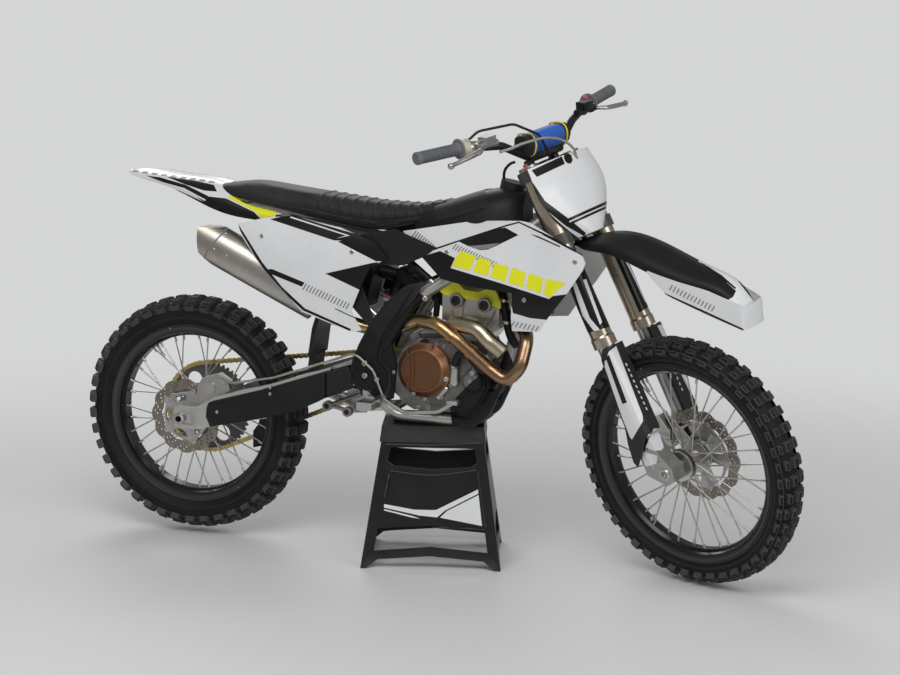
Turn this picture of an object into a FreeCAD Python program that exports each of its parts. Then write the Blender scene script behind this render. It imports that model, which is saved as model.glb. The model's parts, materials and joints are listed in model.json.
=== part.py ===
import FreeCAD, Part
import os
from math import asin, atan2, cos, hypot, pi, radians, sin, tan

os.makedirs("parts", exist_ok=True)

# Driving sizes in mm and degrees. X runs forward from the rear axle, Y to the bike's left, Z up from the floor.
WHEELBASE = 1475.0
REAR_AXLE_Z = 360.0
FRONT_AXLE_Z = 352.0
RAKE = 26.0
AXLE_LEAD = 48.0          # front axle ahead of the steering axis
FORK_LEAD = 17.0          # fork tubes ahead of the steering axis
FORK_HALF = 86.0
TUBE_R = 30.0
SLIDER_R = 25.0
CLAMP_R = 36.0
CLAMP_LOW = 664.0
CLAMP_TOP = 884.0
STEM_R = 20.0
REST_TURN = 26.0          # the pose in the photo, steered to the right
REAR_TYRE_R = 345.0
REAR_TYRE_HALF = 61.0
REAR_RIM_R = 255.0
REAR_RIM_HALF = 34.0
FRONT_TYRE_R = 349.0
FRONT_TYRE_HALF = 48.0
FRONT_RIM_R = 278.0
FRONT_RIM_HALF = 26.0
RIM_GAP = 0.4
TREAD_DEPTH = 14.0
TREAD_PITCHES = 30
REAR_DISC_R = 110.0
FRONT_DISC_R = 130.0
AXLE_R = 12.5
AXLE_BORE_R = 9.0
ARM_IN = 94.0             # inner face of each swingarm leg
ARM_OUT = 120.0
CHAIN_Y = 76.0
CHAIN_PITCH = 15.875
LINK_HEIGHT = 14.0
LINK_WIDE = 9.0
LINK_NARROW = 6.5
GROOVE_HALF = 4.2         # room for the sprockets' teeth
GROOVE_TOP = 5.0
TOOTH_TIP = 3.8           # sprocket teeth beyond the pitch circle
TOOTH_ROOT = 4.6
REAR_TEETH = 52
FRONT_TEETH = 14
SPROCKET_X = 665.0
SPROCKET_Z = 548.0
PIVOT_X = 585.0
PIVOT_Z = 545.0
PIVOT_R = 12.0
ENGINE_HALF = 62.0        # closed engine block, without its covers
SHOCK_TOP = (642.0, 805.0)
SHOCK_FOOT = (500.0, 452.0)
BAR_HALF = 406.0
BAR_R = 11.1
STAND_X = 733.0
STAND_Y = 12.0
STAND_TURN = 17.0
STAND_H = 397.0
STAND_BASE = (390.0, 312.0)
STAND_TOP = (273.0, 202.0)
STAND_WALL = 8.0
STAND_SKIRT = 46.0
STAND_LEG = 30.0
SEAM = 0.02               # how closely the seat's face is matched to the tank's
MID_X = 727.0             # middle of the whole object, measured from the rear axle
MID_Y = 0.0

STRETCH = WHEELBASE / 1475.0
REAR_PITCH_R = CHAIN_PITCH / (2 * sin(pi / REAR_TEETH))
FRONT_PITCH_R = CHAIN_PITCH / (2 * sin(pi / FRONT_TEETH))


def at(x, y, z):
    """A point of the bike, stretched with the wheelbase."""
    return FreeCAD.Vector(x * STRETCH, y, z)


UP = FreeCAD.Vector(-sin(radians(RAKE)), 0, cos(radians(RAKE)))
OUT = FreeCAD.Vector(cos(radians(RAKE)), 0, sin(radians(RAKE)))
SIDE = FreeCAD.Vector(0, 1, 0)
REAR_AXLE = FreeCAD.Vector(0, 0, REAR_AXLE_Z)
FRONT_AXLE = FreeCAD.Vector(WHEELBASE, 0, FRONT_AXLE_Z)
STEER_FOOT = FRONT_AXLE - OUT * AXLE_LEAD


def fork(p, y, u):
    """A point of the front end: p ahead of the steering axis, u up along it."""
    return STEER_FOOT + OUT * p + SIDE * y + UP * u


def rod(a, b, r):
    d = b - a
    return Part.makeCylinder(r, d.Length, a, d)


def ring(a, b, r, hole):
    return rod(a, b, r).cut(rod(a, b, hole))


def cone(a, b, ra, rb):
    d = b - a
    return Part.makeCone(ra, rb, d.Length, a, d)


def cross_rod(x, z, y0, y1, r):
    return rod(at(x, y0, z), at(x, y1, z), r)


def closed(points):
    return Part.makePolygon(points + [points[0]])


def slab(outline, y0, y1):
    """A side outline of (x, z) points, made solid from y0 to y1."""
    wire = closed([at(x, y0, z) for x, z in outline])
    return Part.Face(wire).extrude(SIDE * (y1 - y0))


def fork_slab(outline, y0, y1):
    """An outline of (p, u) points in the front end's own frame."""
    wire = closed([fork(p, y0, u) for p, u in outline])
    return Part.Face(wire).extrude(SIDE * (y1 - y0))


def block(x0, x1, y0, y1, z0, z1):
    return slab([(x0, z0), (x1, z0), (x1, z1), (x0, z1)], y0, y1)


def turned(outline, centre):
    """A ring with the (radius, y) outline about the axle."""
    wire = closed([centre + FreeCAD.Vector(r, y, 0) for r, y in outline])
    return Part.Face(wire).revolve(centre, SIDE, 360)


def bent_path(points, radius):
    edges = []
    start = points[0]
    for before, corner, after in zip(points, points[1:], points[2:]):
        a = (before - corner).normalize()
        b = (after - corner).normalize()
        half = a.getAngle(b) / 2
        room = min((before - corner).Length, (after - corner).Length) * 0.46
        reach = min(radius / tan(half), room)
        bend = reach * tan(half)
        first = corner + a * reach
        last = corner + b * reach
        middle = corner + (a + b).normalize() * (bend / sin(half) - bend)
        edges.append(Part.makeLine(start, first))
        edges.append(Part.Arc(first, middle, last).toShape())
        start = last
    edges.append(Part.makeLine(start, points[-1]))
    return Part.Wire(edges)


def pipe(points, r, radius=60.0):
    circle = Part.Wire(Part.makeCircle(r, points[0], points[1] - points[0]))
    return bent_path(points, radius).makePipeShell([circle], True, False)


def mirrored(shape):
    return shape.mirror(FreeCAD.Vector(0, 0, 0), SIDE)


def both(shape):
    return shape.fuse(mirrored(shape))


def joined(shapes):
    return shapes[0].fuse(shapes[1:]).removeSplitter()


def spline(points):
    curve = Part.BSplineCurve()
    curve.interpolate(points)
    return curve.toShape()


def crowned(x, low, top, half, crown, lean=0.0):
    """Cross-section with a flat underside and a rounded top."""
    points = [
        at(x, -half, low),
        at(x, -half - lean, low + (top - low) * 0.45),
        at(x, -half * crown, top - (top - low) * 0.10),
        at(x, 0, top),
        at(x, half * crown, top - (top - low) * 0.10),
        at(x, half + lean, low + (top - low) * 0.45),
        at(x, half, low),
    ]
    return Part.Wire([spline(points), Part.makeLine(points[-1], points[0])])


def strip(x, points, thick):
    """Cross-section of a thin wall: (y, z) points outside, the inner side moved in by thick."""
    outer = [at(x, y, z) for y, z in points]
    inner = []
    for i, (y, z) in enumerate(points):
        y0, z0 = points[max(i - 1, 0)]
        y1, z1 = points[min(i + 1, len(points) - 1)]
        size = hypot(y1 - y0, z1 - z0)
        inner.append(at(x, y - thick * (z1 - z0) / size, z + thick * (y1 - y0) / size))
    inner.reverse()
    ends = [Part.makeLine(outer[-1], inner[0]), Part.makeLine(inner[-1], outer[0])]
    return Part.Wire([spline(outer), ends[0], spline(inner), ends[1]])


def lofted(sections, ruled=False):
    return Part.makeLoft(sections, True, ruled)


# Wheels

def round_point(centre, r, y, a):
    """A point at radius r and angle a round a wheel's axle."""
    return centre + FreeCAD.Vector(r * cos(a), y, r * sin(a))


def facet(points):
    return Part.Face(closed(points))


def sewn(faces):
    shell = Part.Shell(faces)
    shell.sewShape()
    return Part.Solid(shell.Shells[0])


def block_on(corners, across, along, height, centre):
    """A flat side with one tread block standing on it; across and along are the shares of the side it takes."""
    a, b, c, d = corners

    def spot(s, t):
        return (a * (1 - s) + b * s) * (1 - t) + (d * (1 - s) + c * s) * t

    s0, s1 = across
    t0, t1 = along
    foot = [spot(s0, t0), spot(s1, t0), spot(s1, t1), spot(s0, t1)]
    out = (b - a).cross(d - a).normalize()
    if out.dot(a - centre) < 0:
        out = out * -1
    top = [p + out * height for p in foot]
    floor = facet(corners).cut(facet(foot)).Faces[0]
    walls = [facet([foot[i - 1], foot[i], top[i], top[i - 1]]) for i in range(4)]
    return [floor, facet(top)] + walls


def tyre(centre, tip, half, rim, rim_half):
    """Carcass in flat sectors, each with a centre block and two shoulder blocks half a pitch on; hollow inside."""
    step = 2 * pi / TREAD_PITCHES
    flat = cos(step / 2)
    tread = tip - TREAD_DEPTH
    lip = (rim + RIM_GAP) / flat
    low = rim + (tread - rim) * 0.5
    right = [(lip, rim_half + 6), (low, half - 7), (tread - 15, half - 9), (tread, half * 0.42)]
    cavity = [(lip, -rim_half + 6), (low + 8, -half + 17), (tread - 12, 0), (low + 8, half - 17), (lip, rim_half - 6)]
    outline = right + [(r, -y) for r, y in reversed(right)] + cavity
    blocks = {2: ((0.10, 0.72), (0.54, 0.92)), 3: ((0.16, 0.84), (0.06, 0.44)), 4: ((0.28, 0.90), (0.54, 0.92))}
    faces = []
    for i in range(TREAD_PITCHES):
        for j, (r0, y0) in enumerate(outline):
            r1, y1 = outline[(j + 1) % len(outline)]
            corners = [round_point(centre, r0, y0, i * step), round_point(centre, r1, y1, i * step),
                       round_point(centre, r1, y1, (i + 1) * step), round_point(centre, r0, y0, (i + 1) * step)]
            if j in blocks:
                across, along = blocks[j]
                faces += block_on(corners, across, along, tip - tread * flat, centre)
            else:
                faces.append(facet(corners))
    return sewn(faces)


def rim_ring(centre, rim, half):
    """Rim with a flange each side, bead seats and a dropped well."""
    outside = [(rim, half + 7), (rim, half), (rim - 13, half - 4), (rim - 15, half - 14), (rim - 22, half - 18)]
    inside = [(rim - 27, half - 16), (rim - 20, half - 8), (rim - 17, half), (rim - 6, half + 5)]
    outline = outside + [(r, -y) for r, y in reversed(outside)] + [(r, -y) for r, y in reversed(inside)] + inside
    return turned(outline, centre)


def spokes(centre, flange_y, flange_r, rim_y, rim_r, count):
    """Crossed spokes: each leaves its flange nearly along the tangent."""
    shapes = []
    swing = radians(38)
    for i in range(count):
        a = 2 * pi * i / count
        side = 1 if i % 2 else -1
        way = 1 if (i // 2) % 2 else -1
        b = a + way * swing
        foot = centre + FreeCAD.Vector(flange_r * cos(b), side * flange_y, flange_r * sin(b))
        tip = centre + FreeCAD.Vector(rim_r * cos(a), side * rim_y, rim_r * sin(a))
        shapes.append(rod(foot, tip, 2.0))
    return shapes


def hub(centre, bore, left, right, flange_y, flange_r, drum):
    outline = [
        (bore, right), (42, right), (42, right + 7), (drum, right + 11), (drum, -flange_y - 4),
        (flange_r, -flange_y - 3), (flange_r, -flange_y + 3), (drum, -flange_y + 6),
        (drum, flange_y - 6), (flange_r, flange_y - 3), (flange_r, flange_y + 3), (drum, flange_y + 4),
        (drum, left - 11), (42, left - 7), (42, left), (bore, left),
    ]
    return turned(outline, centre)


def disc(centre, y, r, hole):
    """Brake disc with a wavy edge and drilled ring."""
    waves = 10
    points = []
    for i in range(waves * 2):
        a = pi * i / waves
        reach = r if i % 2 else r - 7
        points.append(centre + FreeCAD.Vector(reach * cos(a), y - 2, reach * sin(a)))
    curve = Part.BSplineCurve()
    curve.interpolate(points, True)
    plate = Part.Face(Part.Wire([curve.toShape()])).extrude(SIDE * 4)
    holes = [rod(centre + SIDE * (y - 3), centre + SIDE * (y + 3), hole)]
    for i in range(waves):
        a = 2 * pi * (i + 0.25) / waves
        mid = centre + FreeCAD.Vector((r - 45) * cos(a), 0, (r - 45) * sin(a))
        holes.append(rod(mid + SIDE * (y - 3), mid + SIDE * (y + 3), 11))
    return plate.cut(Part.makeCompound(holes))


def sprocket(centre, y, teeth, hole, thick=5.8):
    pitch_r = CHAIN_PITCH / (2 * sin(pi / teeth))
    points = []
    for i in range(teeth):
        a = 2 * pi * i / teeth
        step = 2 * pi / teeth
        for part, reach in ((-0.42, -TOOTH_ROOT), (-0.12, TOOTH_TIP), (0.12, TOOTH_TIP), (0.42, -TOOTH_ROOT)):
            reach += pitch_r
            b = a + part * step
            points.append(centre + FreeCAD.Vector(reach * cos(b), y - thick / 2, reach * sin(b)))
    plate = Part.Face(closed(points)).extrude(SIDE * thick)
    return plate.cut(rod(centre + SIDE * (y - 9), centre + SIDE * (y + 9), hole))


def rear_wheel():
    hub_half = CHAIN_Y - 3
    rim = rim_ring(REAR_AXLE, REAR_RIM_R, REAR_RIM_HALF)
    body = hub(REAR_AXLE, AXLE_R + 0.5, hub_half, -hub_half, 34, 54, 30)
    wires = spokes(REAR_AXLE, 34, 50, 9, REAR_RIM_R - 25, 36)
    plate = sprocket(REAR_AXLE, CHAIN_Y, REAR_TEETH, 34)
    windows = []
    for i in range(6):
        a = pi / 3 * i
        mid = round_point(REAR_AXLE, REAR_PITCH_R - 42, CHAIN_Y, a)
        windows.append(rod(mid - SIDE * 9, mid + SIDE * 9, 24))
    return {
        "rear_tyre": tyre(REAR_AXLE, REAR_TYRE_R, REAR_TYRE_HALF, REAR_RIM_R, REAR_RIM_HALF),
        "rear_rim": rim,
        "rear_hub": body.fuse(wires).cut(rim),
        "rear_disc": disc(REAR_AXLE, -hub_half - 2, REAR_DISC_R, 34),
        "rear_sprocket": plate.cut(Part.makeCompound(windows)),
    }


def front_wheel():
    rim = rim_ring(FRONT_AXLE, FRONT_RIM_R, FRONT_RIM_HALF)
    body = hub(FRONT_AXLE, AXLE_R + 1.0, 48, -48, 28, 44, 24)
    wires = spokes(FRONT_AXLE, 28, 40, 6, FRONT_RIM_R - 25, 36)
    return {
        "front_tyre": tyre(FRONT_AXLE, FRONT_TYRE_R, FRONT_TYRE_HALF, FRONT_RIM_R, FRONT_RIM_HALF),
        "front_rim": rim,
        "front_hub": body.fuse(wires).cut(rim),
        "front_disc": disc(FRONT_AXLE, 50, FRONT_DISC_R, 32),
    }


# Front end

def clamp(low, high):
    """One triple clamp: a round pinch boss at each tube and a bridge that narrows towards the stem."""
    bosses = [rod(fork(FORK_LEAD, y, low), fork(FORK_LEAD, y, high), CLAMP_R) for y in (-FORK_HALF, FORK_HALF)]
    outline = [(-24, -34), (-18, -FORK_HALF), (50, -FORK_HALF), (32, -30), (32, 30), (50, FORK_HALF),
               (-18, FORK_HALF), (-24, 34)]
    bridge = Part.Face(closed([fork(p, y, low) for p, y in outline])).extrude(UP * (high - low))
    bores = [rod(fork(FORK_LEAD, y, low - 1), fork(FORK_LEAD, y, high + 1), TUBE_R) for y in (-FORK_HALF, FORK_HALF)]
    return joined([bridge] + bosses).cut(bores)


def fork_clamps():
    stem = rod(fork(0, 0, CLAMP_LOW), fork(0, 0, CLAMP_TOP + 12), STEM_R)
    risers = [rod(fork(-6, y, CLAMP_TOP), fork(-6, y, CLAMP_TOP + 28), 14) for y in (-50, 50)]
    lower = clamp(CLAMP_LOW, CLAMP_LOW + 32)
    upper = clamp(CLAMP_TOP - 30, CLAMP_TOP)
    return joined([lower, upper, stem] + risers)


def fork_tube(y):
    """Outer tube with its lower collar, shoulder and screwed cap, as one turned profile."""
    outline = [(SLIDER_R, 373), (33, 373), (33, 398), (TUBE_R, 404), (TUBE_R, 884), (27, 888), (27, 894), (0, 894),
               (0, 876), (SLIDER_R, 876)]
    foot = fork(FORK_LEAD, y, 0)
    wire = closed([foot + SIDE * r + UP * u for r, u in outline])
    return Part.Face(wire).revolve(foot, UP, 360)


def fork_tubes():
    return fork_tube(-FORK_HALF).fuse(fork_tube(FORK_HALF))


def fork_sliders():
    leg = rod(fork(FORK_LEAD, FORK_HALF, 20), fork(FORK_LEAD, FORK_HALF, 600), SLIDER_R)
    lug = fork_slab([(-10, 10), (40, -32), (72, -26), (78, 10), (60, 45), (42, 110), (-8, 110)],
                    FORK_HALF - 24, FORK_HALF + 24)
    side = joined([leg, lug])
    axle = rod(fork(AXLE_LEAD, -112, 0), fork(AXLE_LEAD, 112, 0), AXLE_R)
    collars = [rod(fork(AXLE_LEAD, s * 49, 0), fork(AXLE_LEAD, s * 64, 0), 17) for s in (-1, 1)]
    bore = rod(fork(AXLE_LEAD, -120, 0), fork(AXLE_LEAD, 120, 0), AXLE_BORE_R)
    return joined([both(side), axle] + collars).cut(bore)


def fork_guards():
    """Channel round the front and outside of each lower leg, trimmed to the guard's side outline."""
    outer = FORK_HALF + 38
    inner = FORK_HALF + 33
    section = [(-40, outer), (36, outer), (49, outer - 6), (55, outer - 20), (55, FORK_HALF - 26),
               (50, FORK_HALF - 26), (50, outer - 20), (46, outer - 10), (35, inner), (-40, inner)]
    channel = facet([fork(p, y, 30) for p, y in section]).extrude(UP * 345)
    side = fork_slab([(60, 128), (60, 370), (34, 370), (16, 345), (-1, 220), (-3, 156), (-18, 108), (-26, 57),
                      (-18, 43), (8, 70), (26, 87)], FORK_HALF - 40, FORK_HALF + 50)
    guard = channel.common(side)
    tabs = [rod(fork(FORK_LEAD, FORK_HALF + 20, u), fork(FORK_LEAD, inner + 1, u), 9) for u in (150, 300)]
    return both(joined([guard] + tabs))


def front_fender():
    """Arched shell; stations as (p, u, half, drop) from the clamp to the tip."""
    stations = [(-14, 659, 36, 5), (48, 657, 48, 20), (90, 652, 62, 32), (155, 636, 69, 44), (238, 582, 73, 52),
                (302, 523, 70, 50), (356, 474, 62, 42), (420, 414, 48, 28), (445, 342, 32, 14), (448, 300, 20, 6)]
    sections = [arch(fork(p, 0, u), half, drop, 4.0) for p, u, half, drop in stations]
    studs = [rod(fork(8, y, CLAMP_LOW - 12), fork(8, y, CLAMP_LOW), 7) for y in (-16, 16)]
    return joined([lofted(sections)] + studs)


def arch(top, half, drop, thick):
    """Thin arched section, ridged along its middle, with its crown at top."""
    shape = [(-1, 1), (-0.86, 0.5), (-0.5, 0.2), (0, 0), (0.5, 0.2), (0.86, 0.5), (1, 1)]
    outer = [top + SIDE * (half * y) - FreeCAD.Vector(0, 0, drop * z) for y, z in shape]
    inner = [top + SIDE * ((half - thick) * y) - FreeCAD.Vector(0, 0, drop * z + thick * (1 - abs(y) * 0.6))
             for y, z in shape]
    inner.reverse()
    ends = [Part.makeLine(outer[-1], inner[0]), Part.makeLine(inner[-1], outer[0])]
    return Part.Wire([spline(outer), ends[0], spline(inner), ends[1]])


def front_plate():
    """Number plate wrapped round the fork tops."""
    stations = [(666, 52, 82), (694, 78, 84), (740, 112, 86), (790, 134, 86), (840, 134, 84), (885, 128, 80)]
    sections = []
    for u, half, lead in stations:
        outer = []
        inner = []
        for k in (-1, -0.66, -0.33, 0, 0.33, 0.66, 1):
            back = 30 * abs(k) ** 2.4
            outer.append(fork(lead - back, half * k, u))
            inner.append(fork(lead - back - 3, (half - 1.5) * k, u))
        inner.reverse()
        ends = [Part.makeLine(outer[-1], inner[0]), Part.makeLine(inner[-1], outer[0])]
        sections.append(Part.Wire([spline(outer), ends[0], spline(inner), ends[1]]))
    shell = lofted(sections)
    stay = fork_slab([(44, 676), (81, 676), (81, 690), (44, 690)], -16, 16)
    upper = fork_slab([(44, 858), (80, 858), (80, 870), (44, 870)], -14, 14)
    return joined([shell, stay, upper])


def bar_points():
    return [at(1042, 0, 1160), at(1042, 62, 1160), at(1022, 150, 1212), at(986, 262, 1228), at(959, BAR_HALF, 1233)]


def handlebar():
    points = bar_points()
    side = pipe(points, BAR_R, 60)
    swell = rod(points[0], at(1042, 66, 1160), 14.3)
    return both(joined([side, swell]))


def grips():
    a = at(984.5, 272, 1228.4)
    b = at(959, BAR_HALF, 1233)
    d = (b - a).normalize()
    body = rod(a, b + d * 4, 16.5)
    flange = rod(a - d * 2, a + d * 4, 27)
    return both(joined([body, flange]))


def bar_pad():
    outline = [(1006, 1182), (1012, 1220), (1060, 1226), (1074, 1200), (1066, 1170), (1014, 1166)]
    return slab(outline, -88, 88)


def lever(side):
    """Hand lever with a ball at its tip, ahead of the grip."""
    pivot = at(1022, 228 * side, 1228)
    elbow = at(1052, 262 * side, 1224)
    tip = at(1040, 366 * side, 1212)
    arm = pipe([pivot, elbow, tip], 5.5, 20)
    return arm.fuse(Part.makeSphere(9, tip))


def master(side):
    """Perch, piston housing, reservoir and lever of one hand."""
    clamp_ring = rod(at(1001, 222 * side, 1224), at(993, 246 * side, 1227), 18)
    housing = rod(at(1024, 168 * side, 1226), at(1022, 236 * side, 1230), 10)
    neck = block(996, 1030, min(224 * side, 242 * side), max(224 * side, 242 * side), 1218, 1238)
    tub = block(1010, 1040, min(186 * side, 224 * side), max(186 * side, 224 * side), 1230, 1252)
    return joined([clamp_ring, housing, neck, tub, lever(side)])


def front_caliper():
    outline = [(-70, 40), (-84, 96), (-60, 142), (-18, 138), (-6, 84), (-26, 40)]
    body = fork_slab(outline, 34, 70)
    slot = turned([(20, 44), (FRONT_DISC_R + 6, 44), (FRONT_DISC_R + 6, 56), (20, 56)], FRONT_AXLE)
    arm = fork_slab([(-40, 60), (0, 60), (0, 110), (-40, 110)], 64, 78)
    return joined([body.cut(slot), arm])


def throttle_cables():
    path = [at(1000, -256, 1246), at(1014, -226, 1268), at(1046, -120, 1266), at(1080, -58, 1226), fork(58, -34, 900),
            fork(42, -34, 868)]
    return pipe(path, 3.5, 40)


def throttle_housing():
    a = at(991.6, -248, 1227.4)
    b = at(985.4, -268, 1228.3)
    d = (b - a).normalize()
    drum = rod(a, b, 24)
    spout = rod(at(996, -255, 1230), at(1002, -254, 1252), 8)
    return joined([drum, spout])


# Frame and running gear

def frame():
    head = rod(fork(0, 0, 706), fork(0, 0, 846), 32)
    spar = pipe([fork(-10, 14, 760), at(980, 37, 930), at(700, 92, 745), at(622, 101, 610)], 17, 90)
    cradle = pipe([fork(-8, 12, 744), fork(-96, 14, 728), at(1006, 20, 790), at(956, 45, 560), at(890, 62, 417),
                   at(640, 78, 417), at(592, 104, 500)], 15, 60)
    plate = slab([(575, 650), (640, 650), (662, 560), (652, 470), (600, 440), (566, 470), (550, 545)], 104, 112)
    peg = slab([(590, 480), (620, 480), (620, 450), (590, 450)], 104, 150)
    tie = cross_rod(712, 752, -93, 93, 13)
    lower = cross_rod(630, 430, -80, 80, 12)
    lug = slab([(722, 762), (706, 738), (636, 792), (630, 812), (648, 820)], 24, 31)
    bolt = cross_rod(SHOCK_TOP[0], SHOCK_TOP[1], -31, 31, 7)
    body = joined([head, both(spar), both(cradle), both(plate), both(peg), tie, lower, both(lug), bolt])
    body = body.cut(cross_rod(PIVOT_X, PIVOT_Z, -130, 130, PIVOT_R))
    return body.cut(rod(fork(0, 0, 700), fork(0, 0, 850), 21))


def subframe():
    rail = pipe([at(765, 83, 790), at(650, 84, 880), at(560, 80, 902), at(420, 76, 925), at(270, 72, 953),
                 at(130, 66, 978)], 9, 40)
    strut = pipe([at(650, 96, 655), at(420, 84, 830), at(262, 74, 945)], 8, 40)
    loop = cross_rod(140, 976, -66, 66, 8)
    return joined([both(rail), both(strut), loop])


def swingarm():
    """Two tapering legs, a cross yoke behind the shock, axle blocks with a slot each, and the pivot tube."""
    arm = slab([(-14, 334), (66, 334), (84, 340), (119, 352), (288, 392), (386, 423), (468, 471), (540, 505), (610, 516),
                (622, 545), (612, 576), (560, 582), (467, 545), (288, 484), (115, 434), (60, 402), (-14, 394)],
               ARM_IN, ARM_OUT)
    taper = slab([(470, 400), (700, 400), (700, 700), (470, 700)], ARM_OUT - 17, ARM_OUT + 10)
    inner = slab([(110, 364), (284, 404), (384, 436), (384, 512), (284, 472), (110, 420)], ARM_IN - 1, ARM_IN + 5)
    slot = joined([block(-2, 34, ARM_OUT - 5, ARM_OUT + 1, REAR_AXLE_Z - 15, REAR_AXLE_Z + 15),
                   rod(at(34, ARM_OUT - 5, REAR_AXLE_Z), at(34, ARM_OUT + 1, REAR_AXLE_Z), 15)])
    arm = arm.cut([taper, inner, slot])
    yoke = slab([(374, 440), (450, 462), (458, 500), (440, 524), (392, 506), (370, 470)], -ARM_IN, ARM_IN)
    pivot = cross_rod(PIVOT_X, PIVOT_Z, -118, 118, PIVOT_R)
    body = joined([both(arm), yoke, pivot])
    return body.cut(rod(REAR_AXLE - SIDE * 130, REAR_AXLE + SIDE * 130, AXLE_R))


def arm_guards():
    """Thin covers on the outside of the swingarm's legs, rounded at the rear."""
    outline = [(96, 352), (108, 354), (288, 398), (386, 429), (462, 474), (464, 536), (288, 474), (110, 422), (96, 416),
               (88, 400), (86, 372)]
    return both(slab(outline, ARM_OUT, ARM_OUT + 2.5))


def rear_axle():
    """Hollow axle with its collars, adjuster blocks, washers and nuts."""
    hub_half = CHAIN_Y - 3
    bar = rod(REAR_AXLE - SIDE * 126, REAR_AXLE + SIDE * 126, AXLE_R)
    collars = [rod(REAR_AXLE + SIDE * (s * (hub_half + 1)), REAR_AXLE + SIDE * (s * (ARM_IN - 8)), 19) for s in (-1, 1)]
    washers = [block(-13, 13, min(s * (ARM_OUT - 5), s * ARM_OUT), max(s * (ARM_OUT - 5), s * ARM_OUT),
                     REAR_AXLE_Z - 14.5, REAR_AXLE_Z + 14.5) for s in (-1, 1)]
    nuts = [rod(REAR_AXLE + SIDE * (s * ARM_OUT), REAR_AXLE + SIDE * (s * 124), 17) for s in (-1, 1)]
    spacer = rod(REAR_AXLE + SIDE * (ARM_IN - 8), REAR_AXLE + SIDE * ARM_IN, 22)
    body = joined([bar, spacer] + collars + washers + nuts)
    return body.cut(rod(REAR_AXLE - SIDE * 130, REAR_AXLE + SIDE * 130, AXLE_BORE_R))


def rear_caliper():
    """Caliper on its carrier, which lies inside the right leg and is held by the axle."""
    outline = [(44, 424), (46, 456), (62, 480), (108, 494), (142, 474), (148, 452), (126, 436), (100, 424), (78, 414)]
    body = slab(outline, -ARM_IN, -60)
    slot = turned([(20, -CHAIN_Y - 5), (REAR_DISC_R + 6, -CHAIN_Y - 5), (REAR_DISC_R + 6, -CHAIN_Y + 7),
                   (20, -CHAIN_Y + 7)], REAR_AXLE)
    carrier = slab([(-24, 342), (30, 338), (100, 424), (60, 440), (-20, 386)], -ARM_IN, -ARM_IN + 8)
    carrier = carrier.cut(rod(REAR_AXLE - SIDE * 130, REAR_AXLE, AXLE_R))
    piston = cross_rod(86, 452, -ARM_IN - 6, -ARM_IN, 17)
    pin = cross_rod(128, 474, -ARM_IN - 4, -66, 6)
    return joined([body.cut(slot), carrier, piston, pin])


def loop_outline(grow, y):
    """Belt line round both sprockets, grow outside the pitch circles."""
    a = FreeCAD.Vector(0, y, REAR_AXLE_Z)
    b = at(SPROCKET_X, y, SPROCKET_Z)
    ra = REAR_PITCH_R + grow
    rb = FRONT_PITCH_R + grow
    d = b - a
    slope = atan2(d.z, d.x)
    open_angle = asin((ra - rb) / d.Length)
    points = []
    for sign in (1, -1):
        angle = slope + sign * (pi / 2 - open_angle)
        points.append((a + FreeCAD.Vector(ra * cos(angle), 0, ra * sin(angle)),
                       b + FreeCAD.Vector(rb * cos(angle), 0, rb * sin(angle))))
    back = slope + pi
    rear = a + FreeCAD.Vector(ra * cos(back), 0, ra * sin(back))
    nose = b + FreeCAD.Vector(rb * cos(slope), 0, rb * sin(slope))
    top, low = points
    return Part.Wire([Part.makeLine(top[0], top[1]), Part.Arc(top[1], nose, low[1]).toShape(),
                      Part.makeLine(low[1], low[0]), Part.Arc(low[0], rear, top[0]).toShape()])


def chain_pins():
    """Pin places evenly along the belt line as (place, outward direction, near a sprocket's teeth)."""
    a = FreeCAD.Vector(0, CHAIN_Y, REAR_AXLE_Z)
    b = at(SPROCKET_X, CHAIN_Y, SPROCKET_Z)
    d = b - a
    slope = atan2(d.z, d.x)
    lean = asin((REAR_PITCH_R - FRONT_PITCH_R) / d.Length)
    run = d.Length * cos(lean)
    upper = slope + pi / 2 - lean
    lower = slope - pi / 2 + lean
    top = (round_point(a, REAR_PITCH_R, 0, upper), round_point(b, FRONT_PITCH_R, 0, upper))
    low = (round_point(b, FRONT_PITCH_R, 0, lower), round_point(a, REAR_PITCH_R, 0, lower))
    front_wrap = FRONT_PITCH_R * (pi - 2 * lean)
    rear_wrap = REAR_PITCH_R * (pi + 2 * lean)
    total = 2 * run + front_wrap + rear_wrap
    count = 2 * round(total / CHAIN_PITCH / 2)
    pins = []
    for i in range(count):
        s = total * i / count
        if s < run:
            pins.append((top[0] + (top[1] - top[0]) * (s / run), upper))
        elif s < run + front_wrap:
            out = upper - (s - run) / FRONT_PITCH_R
            pins.append((round_point(b, FRONT_PITCH_R, 0, out), out))
        elif s < 2 * run + front_wrap:
            back = (s - run - front_wrap) / run
            pins.append((low[0] + (low[1] - low[0]) * back, lower))
        else:
            out = lower - (s - 2 * run - front_wrap) / REAR_PITCH_R
            pins.append((round_point(a, REAR_PITCH_R, 0, out), out))
    reach = LINK_HEIGHT / 2 + TOOTH_TIP + 2

    def toothed(place):
        return (place - a).Length < REAR_PITCH_R + reach or (place - b).Length < FRONT_PITCH_R + reach

    return [(place, FreeCAD.Vector(cos(out), 0, sin(out)), toothed(place)) for place, out in pins]


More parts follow.
